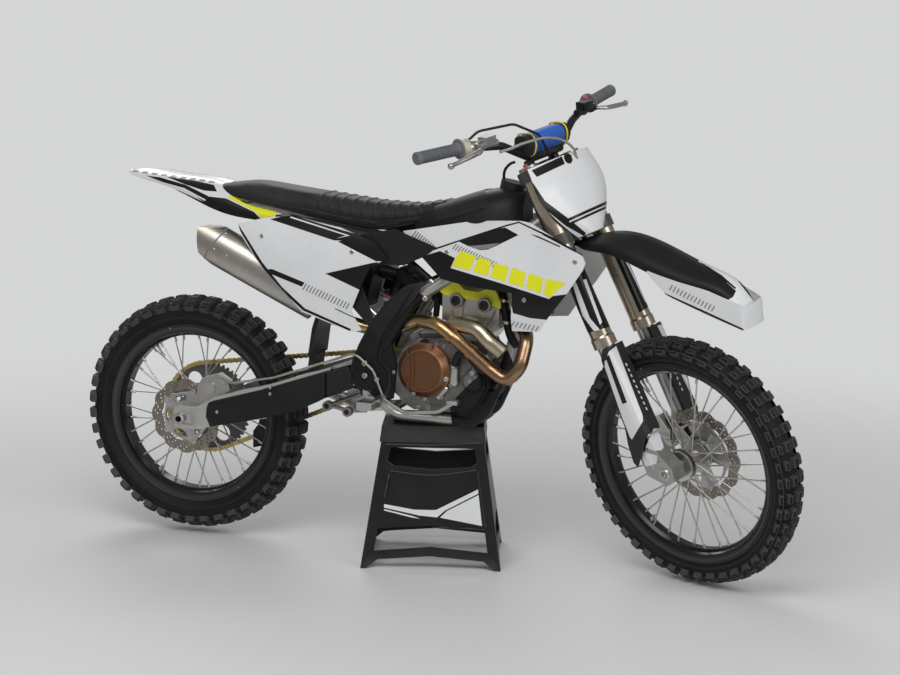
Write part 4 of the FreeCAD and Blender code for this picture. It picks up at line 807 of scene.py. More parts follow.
def make_bar_pad():
    """Square foam block over the bars in a fabric cover, with darker end caps and piping along its edges."""
    cover = soft_cover(pad_block(-PAD_HALF, PAD_HALF, 0.97), PAD_VOXEL,
                       lambda co: abs(co.y) > MIDDLE_HELD, 3.0)
    smooth(cover, 70)
    piece = place("bar_pad_cover", cover, "front_end", "pad_blue", front=True)
    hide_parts("bar_pad")
    for side, hand in ((-1, "right"), (1, "left")):
        ends = soft_cover(pad_block(side * PAD_HALF, side * PAD_END, 0.96), PAD_VOXEL,
                          lambda co: abs(co.y) < END_HELD, 2.0)
        smooth(ends, 70)
        tip = place("bar_pad_end_" + hand, ends, "front_end", "pad_blue", "pad_black", True)
        bm = bmesh.new()
        welt(bm, pad_ring(side * PAD_HALF, 1.02), 2.4)
        put(bm, "bar_pad_piping_" + hand, "front_end", "pad_blue", "pad_yellow", True, 60)


def welt(bm, loop, radius):
    """A round cord along a closed loop of points."""
    count = len(loop)
    fine = [between(loop[i - 1], loop[i], loop[(i + 1) % count], loop[(i + 2) % count], k / 4)
            for i in range(count) for k in range(4)]
    middle = sum(loop, Vector()) / count
    rings = []
    for i, p in enumerate(fine):
        ahead = (fine[(i + 1) % len(fine)] - fine[i - 1]).normalized()
        across = (p - middle) - ahead * (p - middle).dot(ahead)
        rings.append(hoop(p, across.normalized(), ahead, radius, 8))
    skin(bm, rings, True)


# Grips and spring

GRIP_INNER, GRIP_OUTER = (984.5, 272, 1228.4), (959, 406, 1233)
GRIP_RIB_PITCH = 4.0


def make_grips():
    """Ribbed rubber sleeves with a flange at the inner end and a rounded outer end."""
    bm = bmesh.new()
    for side in (-1, 1):
        inner, outer = (at(x, y * side, z) for x, y, z in (GRIP_INNER, GRIP_OUTER))
        run = outer - inner
        length = run.length * 1000 + 3.5
        profile = [(11.2, -2), (26, -2), (27.5, 0), (27.5, 2), (26, 3.6), (18.5, 4.6), (17, 7)]
        h = 10.0
        while h < length - 16:
            profile += [(15.0, h), (15.0, h + 1.4), (16.6, h + 1.9), (16.6, h + 3.6)]
            h += GRIP_RIB_PITCH
        profile += [(16.2, h), (17.2, h + 3), (17.2, length - 3), (15.5, length), (0.5, length)]
        stem(bm, inner, run, profile, 32)
    piece = put(bm, "grip_rubbers", "front_end", "grip_grey", front=True, angle=40)
    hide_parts("grips")


SPRING_TOP, SPRING_FOOT = at(642, 0, 805), at(500, 0, 452)
SPRING_TURNS, SPRING_R, WIRE_R, SPRING_STEPS = 6.5, 28.5, 5.4, 200
TOP_COLLAR, FOOT_COLLAR = 76.0, 46.0


def make_spring():
    """Helical spring between the shock's collars, and its red collar."""
    down = SPRING_FOOT - SPRING_TOP
    across, other, along = basis(down)
    start, end = TOP_COLLAR + WIRE_R, down.length * 1000 - FOOT_COLLAR - WIRE_R
    points = []
    for i in range(SPRING_STEPS + 1):
        t = i / SPRING_STEPS
        a = 2 * pi * SPRING_TURNS * t
        points.append(SPRING_TOP + along * (start + (end - start) * t) / 1000
                      + (across * cos(a) + other * sin(a)) * (SPRING_R / 1000))
    rings = []
    for i, p in enumerate(points):
        ahead = (points[min(i + 1, SPRING_STEPS)] - points[max(i - 1, 0)]).normalized()
        radial = p - SPRING_TOP - along * (p - SPRING_TOP).dot(along)
        rings.append(hoop(p, (radial - ahead * radial.dot(ahead)).normalized(), ahead, WIRE_R, 12))
    bm = bmesh.new()
    skin(bm, rings)
    piece = put(bm, "spring_coil", "chassis", "spring_white", angle=60)
    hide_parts("shock_spring")
    bm = bmesh.new()
    stem(bm, SPRING_TOP + along * 0.070, down, [(23, 0), (35.5, 0), (35.5, 5), (33, 7), (23, 7)], 32)
    put(bm, "spring_collar", "chassis", "spring_white", "ring_red")


# Outlines and places read off the photo, in its own pixels, and cast from the camera onto the machine

def row(start, end, count, shape):
    """A small outline repeated from one pixel to another."""
    steps = [i / (count - 1) for i in range(count)]
    return [[(start[0] + (end[0] - start[0]) * t + dx, start[1] + (end[1] - start[1]) * t + dy) for dx, dy in shape]
            for t in steps]


def stroke(dx, dy, width=1.1):
    """The outline of a slanted stroke."""
    return [(0, 0), (width, width * 0.3), (dx + width, dy + width * 0.3), (dx, dy)]


SHROUD_BAND = [(404, 262), (440, 251), (455, 258), (450.5, 268), (500, 283), (549, 299), (553, 296), (569, 294),
               (560, 306), (549, 320), (530, 318), (513, 313), (511, 303), (480, 295), (447, 282), (430, 280),
               (400, 269)]
SHROUD_SCOOP = [(459, 241.5), (497, 229), (505, 227.5), (518.5, 235), (497, 245.5), (488, 249.5), (480, 250),
                (468, 246)]
SHROUD_SCOOP_LIP = [(468, 246), (482, 245), (500, 243), (490, 248.5), (480, 249.4)]
SHROUD_SEAM = [(433, 248.7), (460, 239.8), (505, 225.2), (519, 221.6), (519, 223), (505, 226.8), (460, 241.3),
               (434, 250.2)]
SHROUD_REAR_EDGE = [(395, 231), (434, 248.2), (432.6, 249.8), (393, 232.6)]
SHROUD_NOSE_EDGE = [(519, 221.6), (560, 240.4), (584, 254), (590, 262), (588.6, 263.6), (582, 255.6), (558, 241.8),
                    (519, 223)]
SHROUD_LINES = [[(530, 234), (538, 236), (560, 246), (560, 247.4)], [(542, 234.6), (550, 236), (578, 252),
                (576, 252.6)]]
SHROUD_BLOCKS = [[(456, 258), (461, 251), (476, 256), (470, 270.5), (452, 266)], [(479, 257), (492, 262), (487, 276),
                 (473, 271.5)], [(495, 263), (509, 267), (505, 281.5), (490, 277)], [(512, 268), (526, 272.5),
                 (523, 287), (508, 282.5)], [(529, 273.5), (543, 278), (541, 293), (526, 288)], [(546, 279),
                 (566, 283), (556, 291), (550, 298), (544, 294)]]
PANEL_BAND = [(270, 219.2), (290, 214.8), (330, 226.5), (364, 236.4), (345, 240.6), (334, 240.4)]
PANEL_FRONT = [(338, 241.6), (364.5, 234), (402, 228), (402, 262), (376, 261.2)]
PANEL_WEDGE = [(325.5, 273.5), (371, 263.2), (378, 262), (368, 292), (360, 290)]
PANEL_BAR = [(267, 269.4), (272, 269), (304.6, 282.6), (301.8, 286.6), (268.6, 273)]
PANEL_EDGE = [(236, 223.6), (237.6, 223), (262, 262), (282, 287), (305, 308.4), (351, 329), (350, 331), (303, 310.4),
              (280, 289), (260, 264.6)]
PANEL_LINE = [(335, 308), (355, 317.4), (355, 318.4), (335, 309)]
FENDER_YELLOW = [(227, 197), (234.5, 195.8), (279, 210), (277.5, 215), (262, 218.4), (254, 211)]
FENDER_DARK = [(208, 196.5), (226, 198.4), (254, 212), (261, 219), (240, 228), (222, 212)]
FENDER_STRIPES = [[(146, 175.6), (160, 177.4), (186, 185), (208, 196), (216, 204), (240, 224), (236, 232),
                  (205, 218), (180, 203), (150, 188), (130, 177), (150, 181.6), (180, 191), (204, 202), (190, 192.4),
                  (160, 181)], [(166, 176.6), (196, 181), (214, 185), (217, 191.6), (204, 190.6), (184, 184)]]
FENDER_LINES = [[(152, 184), (180, 194.6), (206, 206.6), (232, 224), (230.6, 225.4), (205, 208.6), (179, 196.4),
                (152, 185.4)], [(150, 178.6), (184, 188), (206, 199.6), (205, 201), (183, 189.6), (150, 179.8)]]
TIP_WHITE = [(723, 303), (733, 297), (736, 291), (727, 283), (718, 273), (708, 266.5), (698, 261.6), (700, 259),
             (716, 264), (737, 280), (754, 302), (762, 320), (746, 334), (720, 320)]
WING_LOWER = [(647, 273), (654, 281), (667, 294.6), (685, 303.4), (700, 310.4), (722, 320.8), (743, 330)]
SHELL_EDGE = [(1240, 926), (1340, 911), (1400, 903), (1460, 890), (1520, 878), (1560, 872), (1600, 865), (1640, 852),
              (1690, 838), (1720, 826)]
WING_EDGE = [(664, 292.6), (700, 308.8), (743, 328.6), (744, 331), (700, 311.4), (663, 294)]
TIP_LINES = [[(701, 262.4), (722, 275.6), (736, 288), (735, 289.4), (720, 277)]]
PLATE_STRIPE = [(567.6, 218.6), (608, 200.4), (608.6, 207.4), (571, 224.4)]
PLATE_LINE = [(568.8, 221.2), (608.2, 203.6), (608.4, 204.8), (569.6, 222.4)]
PLATE_BLOCK = [(531.6, 170.4), (561.6, 156.4), (564.8, 163.8), (536.8, 177)]
PLATE_HOLE = [(564.4, 154.4), (567.6, 152.8), (571, 155), (572.6, 160), (571, 163.4), (567.8, 163.6), (565, 161),
              (563.6, 157)]
GUARD_WHITE = [(608.5, 352), (616, 346), (642.5, 415), (643, 421), (634.5, 435.5), (632, 439.6), (630, 437),
               (622, 417), (604.8, 367), (604.8, 361), (606.5, 360)]
GUARD_SLOT = [(605.8, 357.6), (609, 355), (627, 402.4), (622.6, 404)]
GUARD_FOOT = [[(653.4, 428.6), (657.4, 428), (663.6, 446.6), (661.6, 450.4), (654.6, 450.8), (645.6, 447.4)],
              [(643, 451.4), (657.6, 455.8), (656.6, 463.6), (646.6, 466.6), (642, 459.6)]]
INFILL = [(362, 234.5), (395, 229.5), (436, 247.5), (425, 256), (404, 265), (372, 264.6), (350, 262), (342, 243)]
WING = [(357, 288), (362, 287), (374, 320), (367.6, 324), (352, 306)]
STAND_STRIPES = [[(384, 504), (400, 507), (414, 509.6), (430, 510), (436, 510), (478, 489.4), (478.4, 493.6),
                 (445, 510.6), (437, 517.4), (420, 515.6), (384, 507.6)], [(447, 511), (478.6, 495), (482, 526),
                 (440, 517.6)], [(384, 509), (412, 515.8), (420, 518.6), (412, 517.6), (384, 510.4)]]
STAND_BEADS = [[(390.5, 470.5), (410, 473.4), (433, 475), (456, 473), (476, 470)], [(389, 474), (384, 500),
               (379, 529)], [(478, 473), (481.6, 500), (485.6, 527)], [(380, 531), (405, 528.4), (432, 527.4),
               (460, 528), (485, 530)], [(386, 444), (410, 444.6), (440, 444.8), (480, 443)]]
SHROUD_HATCH = (row((416, 230.5), (433, 244), 9, stroke(-5, 7)) + row((456, 244), (496, 262), 16, stroke(-4, 5))
                + row((514, 321), (538, 326), 7, stroke(-3, 5)))
PANEL_BAND_LINE = [(291, 216.6), (350, 235.6), (336, 238.6), (346, 235.6), (290, 217.8)]
PANEL_HATCH = row((306, 283.5), (349, 303), 15, stroke(-3.6, 6))
FENDER_MARKS = row((134, 169.6), (210, 180.4), 9, [(0, 0), (5.4, 0.6), (3.6, 2.6), (-1.8, 2.0)])
TIP_HATCH = row((672, 285), (714, 306), 13, stroke(-3, 5))
GUARD_DASHES = row((625, 363), (645, 407), 9, [(0, 0), (1.6, 0.4), (2.6, 3.2), (1.0, 2.8)])
ARM_COVER = [(207, 404), (235, 397.4), (268, 388), (328, 370.6), (364, 361), (368, 408), (330, 420), (255, 434),
             (212, 436)]
ARM_PLATE = [(208, 405.5), (235, 397.2), (262, 390), (290, 382.4), (318, 375), (327, 372.8), (327, 397),
             (318, 401.5), (304, 407.5), (288, 413), (262, 418), (236, 422.5), (210, 426.5), (206, 416)]
ARM_HEAD = [(326, 373), (347, 367.2), (352, 372), (352, 388), (340, 393), (326, 397.4)]
SPAR_COVER = [(411, 287), (426, 297.5), (404, 328), (396, 350), (399, 392), (390, 404), (376, 400), (352, 372),
              (368, 340)]
STRUT_COVER = [(394, 256), (437, 254), (437, 276), (412, 288), (400, 294), (392, 280)]
SKID_COVER = [(450, 405), (462, 391.5), (472, 381.5), (486, 370.5), (497, 358), (508, 350), (514, 366), (507, 398),
              (495, 414), (480, 424), (452, 424)]
CYLINDER_RIBS = [[(452, 309), (455, 316), (470, 318)], [(470, 318), (488, 322), (496, 310)], [(486, 322),
                 (486, 334)], [(470, 318), (471, 328)]]
PLATE_EDGE = [(526, 166), (531, 180), (545, 201), (569, 219), (586, 233), (584, 236), (566, 226), (540, 205),
              (526, 182)]
RIGHT_WRAP = [(562, 258), (592, 250), (612, 326), (585, 334)]
RIGHT_WRAP_LINES = [[(572, 283), (576, 282), (590, 318), (600, 330), (594, 331), (583, 316)], [(583, 280),
                    (586, 279), (602, 322), (600, 325)]]
MASTER_DARK = [(574, 96), (597, 96), (597, 116), (574, 116)]
SILENCER_JOINT = [(228.6, 225.5), (230.4, 226), (208.4, 249.6), (204.2, 262), (202.6, 261.6), (206.6, 249)]
RESERVOIR_LID = [(478, 132), (496, 132), (499, 137.6), (480, 139.4)]
ARM_BOLTS = [(270, 387.5), (270, 394), (217, 412)]
LINK_RODS = [[(329, 405), (345, 399.5), (361, 394)], [(329, 405), (349, 411)]]
LINK_EYES = [(329, 405), (349, 411)]
BRAKE_LEVER = [(481, 150), (474, 154.5), (466, 159), (457, 163.2), (451, 166)]
CLUTCH_LEVER = [(600, 107.6), (607, 107.6), (613, 106.6), (620, 105), (625, 103.6)]
SEAT_NOSE = [(434, 205), (452, 198), (470, 193), (484, 190), (488, 198), (486, 208), (470, 213), (436, 222)]
LINK_Y = -62
ARM_BOLT_Y = -124.8

# Bolts with their radius, hoses with how far each point stands off (ELBOW) or its y in mm (the others)
ENGINE_BOLTS = [(406, 341, 5), (437, 344, 4.5), (444, 346, 4), (414, 393, 5.5), (446, 379, 7), (451, 385, 5.5),
                (472, 373, 7), (441, 397, 6), (425, 399, 5), (418, 407, 5), (396, 348, 5), (394, 372, 5),
                (429, 313, 9), (425, 298, 8), (416, 308, 6), (482, 336, 5), (500, 326, 7), (365, 363, 8),
                (365, 375.5, 8), (377, 379.5, 7)]
CAM_BOSSES = [(457, 300), (485, 305)]
FILLER_PLUG = (425, 342)
ELBOW = [(456, 368, 10), (459, 357, 22), (465, 352, 26), (472, 356, 20), (478, 366, 8), (482, 372, 0)]
# Radius, sides and run
HOSES = [(12, 14, [(501, 286, -48), (504, 300, -58), (506, 316, -60), (510, 334, -56), (516, 346, -40)]),
         (9, 12, [(432, 284, -44), (437, 300, -50), (436, 316, -48)]),
         (5, 10, [(399, 316, -60), (407, 312, -66), (417, 316, -62), (424, 326, -50)])]
# Start, end and the radius at each
PUMP_OUTLETS = [((455, 382), (456, 366), 15, 11.5), ((447, 388), (440, 396), 8, 6)]
HOSE_CLIPS = [(504, 300, -58), (506, 322, -60)]
SILENCER_RIVETS = [(226, 233), (214, 249), (206, 262), (297, 317), (318, 320)]
LUG_BOLTS = [(641, 462), (660, 461)]
BRAKE_HOSE_LOOP = [(500, 152, -215), (510, 149, -190), (525, 143, -150), (545, 138, -95), (562, 140, -45),
                   (573, 148, -20), (577, 160, 0)]
STOP_BUTTON = (586, 98)
LEVER_ADJUSTER = (487, 160)
FORK_ADJUSTERS = [(526, 166), (592, 146)]
PANEL_BOLTS = [(262, 236, "side_panel_right"), (352, 252, "side_panel_right"), (575, 262, "shroud_right"),
               (447, 252, "shroud_right"), (524, 300, "shroud_right")]
VENT_HOSE = [(506, 186, 0), (504, 178, 0), (505, 170, 0), (510, 164, 0), (515, 162, 0)]

ENGINE = ["crankcase", "clutch_cover", "cylinder", "valve_cover", "frame", "frame_guard_right"]
TOP_END = ["cylinder", "valve_cover"]


def camera_axes():
    """Where the camera looks, and its right and its up."""
    ahead = Vector((-sin(YAW) * cos(PITCH), cos(YAW) * cos(PITCH), -sin(PITCH)))
    right = ahead.cross(Vector((0, 0, 1))).normalized()
    up = right.cross(ahead)
    return ahead, right * cos(ROLL) + up * sin(ROLL), up * cos(ROLL) - right * sin(ROLL)


AHEAD, RIGHT, ABOVE = camera_axes()


def sight(px, py):
    """The direction from the camera through a pixel of the photo."""
    return (AHEAD + RIGHT * ((px - FRAME_PX[0] / 2) / FOCAL_PX)
            - ABOVE * ((py - FRAME_PX[1] / 2) / FOCAL_PX)).normalized()


def to_pixel(point):
    """Where the camera sees a point, in the photo's pixels."""
    way = point - EYE
    far = way.dot(AHEAD)
    return (FRAME_PX[0] / 2 + FOCAL_PX * way.dot(RIGHT) / far,
            FRAME_PX[1] / 2 - FOCAL_PX * way.dot(ABOVE) / far)


def off(px, py, y):
    """The point that the camera sees at a pixel on the upright plane at y mm."""
    way = sight(px, py)
    return EYE + way * ((y / 1000 - EYE.y) / way.y)


TREES = {}
SEEN = {}
FALLBACK_DEPTH = (EYE - at(900, 0, 600)).length
HIDDEN_BY = 0.0015
SAME_POINT, ON_PLANE, SAME_TURN = 0.000002, 0.0000001, 0.01


def mesh_named(name):
    return frame["nodes"][name].data if name in frame["nodes"] else bpy.data.objects[name].data


def tree_of(names):
    """What a ray can meet on the named surfaces."""
    key = tuple(names)
    if key not in TREES:
        bm = bmesh.new()
        for name in names:
            bm.from_mesh(mesh_named(name))
        TREES[key] = BVHTree.FromBMesh(bm)
        bm.free()
    return TREES[key]


def seen_faces(name):
    """A surface's triangles that face the camera, each with its corners and their pixels."""
    if name not in SEEN:
        mesh = mesh_named(name)
        mesh.calc_loop_triangles()
        spots = [to_pixel(v.co) for v in mesh.vertices]
        SEEN[name] = [([mesh.vertices[i].co.copy() for i in tri.vertices], [spots[i] for i in tri.vertices])
                      for tri in mesh.loop_triangles
                      if tri.normal.dot(mesh.vertices[tri.vertices[0]].co - EYE) < 0]
    return SEEN[name]


def inside(outline, x, y):
    """Whether a pixel lies in an outline."""
    odd = False
    for (x0, y0), (x1, y1) in zip(outline, outline[1:] + outline[:1]):
        if (y0 > y) != (y1 > y) and x < (x1 - x0) * (y - y0) / (y1 - y0) + x0:
            odd = not odd
    return odd


def spot(px, py, names):
    """The place and the outward normal of the surface under a pixel."""
    way = sight(px, py)
    hit, normal, _, _ = tree_of(names).ray_cast(EYE, way)
    if hit is None:
        hit, normal, _, _ = tree_of(names).find_nearest(EYE + way * FALLBACK_DEPTH)
    return hit, (normal if normal.dot(way) < 0 else -normal)


def printed(bm_out, outline, names, lift):
    """Adds the part of the surfaces that shows inside a pixel outline, lifted by so many mm."""
    tree = tree_of(names)
    low = [min(p[k] for p in outline) for k in (0, 1)]
    high = [max(p[k] for p in outline) for k in (0, 1)]
    bm = bmesh.new()
    for name in names:
        for corners, spots in seen_faces(name):
            if all(min(s[k] for s in spots) <= high[k] and max(s[k] for s in spots) >= low[k] for k in (0, 1)):
                bm.faces.new([bm.verts.new(p) for p in corners])
    bmesh.ops.remove_doubles(bm, verts=bm.verts[:], dist=SAME_POINT)
    for a, b in zip(outline, outline[1:] + outline[:1]):
        bmesh.ops.bisect_plane(bm, geom=bm.verts[:] + bm.edges[:] + bm.faces[:], dist=ON_PLANE, plane_co=EYE,
                               plane_no=sight(*a).cross(sight(*b)))
    drop = []
    for face in bm.faces:
        centre = face.calc_center_median()
        way = centre - EYE
        hit = tree.ray_cast(EYE, way.normalized())
        if not inside(outline, *to_pixel(centre)) or (hit[0] is not None and hit[3] < way.length - HIDDEN_BY):
            drop.append(face)
    bmesh.ops.delete(bm, geom=drop, context="FACES")
    bmesh.ops.dissolve_limit(bm, angle_limit=SAME_TURN, verts=bm.verts[:], edges=bm.edges[:])
    bmesh.ops.triangulate(bm, faces=[f for f in bm.faces if len(f.verts) > 4])
    bm.normal_update()
    normals = [v.normal.copy() for v in bm.verts]
    for v, normal in zip(bm.verts, normals):
        v.co += normal * (lift / 1000)
    part = bpy.data.meshes.new("print")
    bm.to_mesh(part)
    bm.free()
    bm_out.from_mesh(part)
    bpy.data.meshes.remove(part)


def prints(body, slot, names, rows, both_sides=True):
    """Thin skins on the named surfaces, one piece for each (name, finish, lift in mm, pixel outlines)."""
    for name, finish_name, lift, outlines in rows:
        bm = bmesh.new()
        for outline in outlines:
            printed(bm, outline, names, lift)
        paired(name, mesh_of(bm, name, 40), body, slot, finish_name, both_sides)


def moulding(name, outline, y, thick):
    """A flat black moulding that fills a pixel outline on the upright plane at y, in mm, with a rounded edge."""
    points = [off(px, py, y) * 1000 for px, py in outline]
    mesh = plate([[(p.x, p.z) for p in points]], thick / 2, min(0.9, thick * 0.3))
    mesh.transform(upright(SIDE * (y / 1000)))
    paired(name, mesh, "chassis", "black_plastic", "black_plastic")


WING_THICK = 2.4
WING_STEPS = 24
WING_NOSE_R = 6
# The wings stand this far out, and close in by so much from the second place over the third
WING_OUT, WING_CLOSE, WING_BEND_X, WING_BEND = 75.5, 33, 1430, 270


def wing_reach(x):
    """How far from the middle the fender's side wing stands, x mm ahead of the rear axle before steering."""
    return WING_OUT - WING_CLOSE * max(0, (x - WING_BEND_X) / WING_BEND) ** 1.35


def height_at(line, x):
    """The height of a line of (x, z) points at x, held level past its ends."""
    for (x0, z0), (x1, z1) in zip(line, line[1:]):
        if x <= x1:
            return z0 + (z1 - z0) * max(0, (x - x0) / (x1 - x0))
    return line[-1][1]


def fender_wings():
    """White side wings under the front fender's edge, curved with it, before steering."""
    straight = STEERED.inverted()
    eye = straight @ EYE
    lower = []
    for px, py in WING_LOWER:
        way = straight.to_3x3() @ sight(px, py)
        reach = 60
        for _ in range(4):
            hit = eye + way * ((-reach / 1000 - eye.y) / way.y)
            reach = wing_reach(hit.x * 1000 + MID_X)
        lower.append((hit.x * 1000 + MID_X, hit.z * 1000))
    path = []
    for k in range(WING_STEPS + 1):
        x = lower[0][0] + (lower[-1][0] - lower[0][0]) * k / WING_STEPS
        top = height_at(SHELL_EDGE, x) + 5
        path.append((x, -wing_reach(x), 0, -1, top, min(height_at(lower, x), top - 1.5)))
    other_side = [(x, -y, 0, 1, top, low) for x, y, _, _, top, low in reversed(path)]
    x, y, _, _, top, low = path[-1]
    for k in range(1, 12):
        c, s = cos(pi * k / 12), sin(pi * k / 12)
        path.append((x + WING_NOSE_R * s, y * c, s, -c, top - 4 * s, low))
    rings = []
    for x, y, nx, ny, top, low in path + other_side:
        middle, flare = (top + low) / 2, min(4, (top - low) * 0.08)
        section = ((top, 0), (middle, flare * 0.6), (low, flare), (low, flare - WING_THICK),
                   (middle, flare * 0.6 - WING_THICK), (top, -WING_THICK))
        rings.append([at(x + nx * out, y + ny * out, z) for z, out in section])
    bm = bmesh.new()
    skin(bm, rings)
    put(bm, "fender_wings", "front_end", "white_plastic", "white_plastic", True, 40)


def bodywork_graphics():
    """Prints on the bodywork and the stand, the side wings of the fender and the mouldings by the side panel."""
    moulding("side_infill", INFILL, -117, 3.0)
    moulding("side_wing", WING, -112, 4.0)
    black, white, yellow, grey = "print_black", "print_white", "print_yellow", "print_grey"
    prints("chassis", "white_plastic", ["shroud_right"], [
        ("shroud_band", black, 0.4, [SHROUD_BAND]),
        ("shroud_scoop", black, 0.4, [SHROUD_SCOOP]),
        ("shroud_scoop_lip", grey, 0.8, [SHROUD_SCOOP_LIP]),
        ("shroud_seams", black, 0.4, [SHROUD_SEAM, SHROUD_REAR_EDGE, SHROUD_NOSE_EDGE] + SHROUD_LINES),
        ("shroud_blocks", yellow, 0.8, SHROUD_BLOCKS),
        ("shroud_hatch", grey, 0.6, SHROUD_HATCH)])
    prints("chassis", "white_plastic", ["side_panel_right"], [
        ("panel_black", black, 0.4, [PANEL_BAND, PANEL_FRONT, PANEL_WEDGE, PANEL_BAR, PANEL_EDGE, PANEL_LINE]),
        ("panel_band_line", white, 0.9, [PANEL_BAND_LINE]),
        ("panel_hatch", grey, 0.6, PANEL_HATCH)])
    prints("chassis", "white_plastic", ["rear_fender"], [
        ("fender_yellow", yellow, 0.9, [FENDER_YELLOW]),
        ("fender_dark", black, 0.4, [FENDER_DARK] + FENDER_STRIPES),
        ("fender_lines", white, 0.8, FENDER_LINES),
        ("fender_marks", grey, 0.4, FENDER_MARKS)])
    fender_wings()
    prints("front_end", "black_plastic", ["fender_wings"], [("wing_edge", black, 0.5, [WING_EDGE])])
    prints("front_end", "black_plastic", ["front_fender"], [
        ("tip_white", white, 0.5, [TIP_WHITE]),
        ("tip_lines", black, 0.8, TIP_LINES)], False)
    prints("front_end", "black_plastic", ["fender_wings"], [("tip_hatch", grey, 0.8, TIP_HATCH)])
    prints("front_end", "white_plastic", ["front_plate"], [
        ("plate_black", black, 0.6, [PLATE_STRIPE, PLATE_BLOCK, PLATE_HOLE]),
        ("plate_line", white, 0.9, [PLATE_LINE])], False)
    prints("front_end", "black_plastic", ["fork_guards"], [("guard_white", white, 0.5, [GUARD_WHITE])])
    prints("front_end", "white_plastic", ["fork_sliders", "fork_guards"], [("guard_foot", white, 0.6, GUARD_FOOT)])
    prints("front_end", "black_plastic", ["fork_guards"], [
        ("guard_slot", black, 0.8, [GUARD_SLOT]),
        ("guard_dashes", white, 0.6, GUARD_DASHES)])
    prints("chassis", "black_plastic", ["stand"], [("stand_print", white, 0.5, STAND_STRIPES)], False)


def dark_covers():
    """Dark mouldings and skins over the arm, the spars, the skid plate, the fork tubes and the tank's front."""
    moulding("arm_plate", ARM_PLATE, -123.9, 2.2)
    moulding("arm_head", ARM_HEAD, -115, 20.0)
    black = "black_plastic"
    for name, outline, lift, names in (
            ("arm_cover", ARM_COVER, 1.6, ["swingarm", "arm_guards"]),
            ("spar_cover", SPAR_COVER, 1.6, ["frame"]),
            ("strut_cover", STRUT_COVER, 1.2, ["frame", "subframe", "shock", "airbox", "linkage"]),
            ("skid_cover", SKID_COVER, 1.6, ["frame", "skid_plate", "crankcase"])):
        prints("chassis", black, names, [(name, black, lift, [outline])])
    prints("front_end", "white_plastic", ["front_plate"], [("plate_edge", "print_black", 0.5, [PLATE_EDGE])], False)
    prints("front_end", black, ["fork_tubes"], [
        ("fork_wrap", "print_black", 0.5, [RIGHT_WRAP]),
        ("fork_wrap_lines", "print_white", 0.9, RIGHT_WRAP_LINES)])
    prints("chassis", "seat_cover", ["tank"], [("seat_nose", "seat_cover", 2.4, [SEAT_NOSE])])
    prints("front_end", black, ["clutch_master"], [("master_lid", black, 0.6, [MASTER_DARK])], False)
    prints("chassis", "titanium", ["silencer"], [("silencer_joint", "print_grey", 0.3, [SILENCER_JOINT])], False)


# Engine parts, front-end parts and small fittings

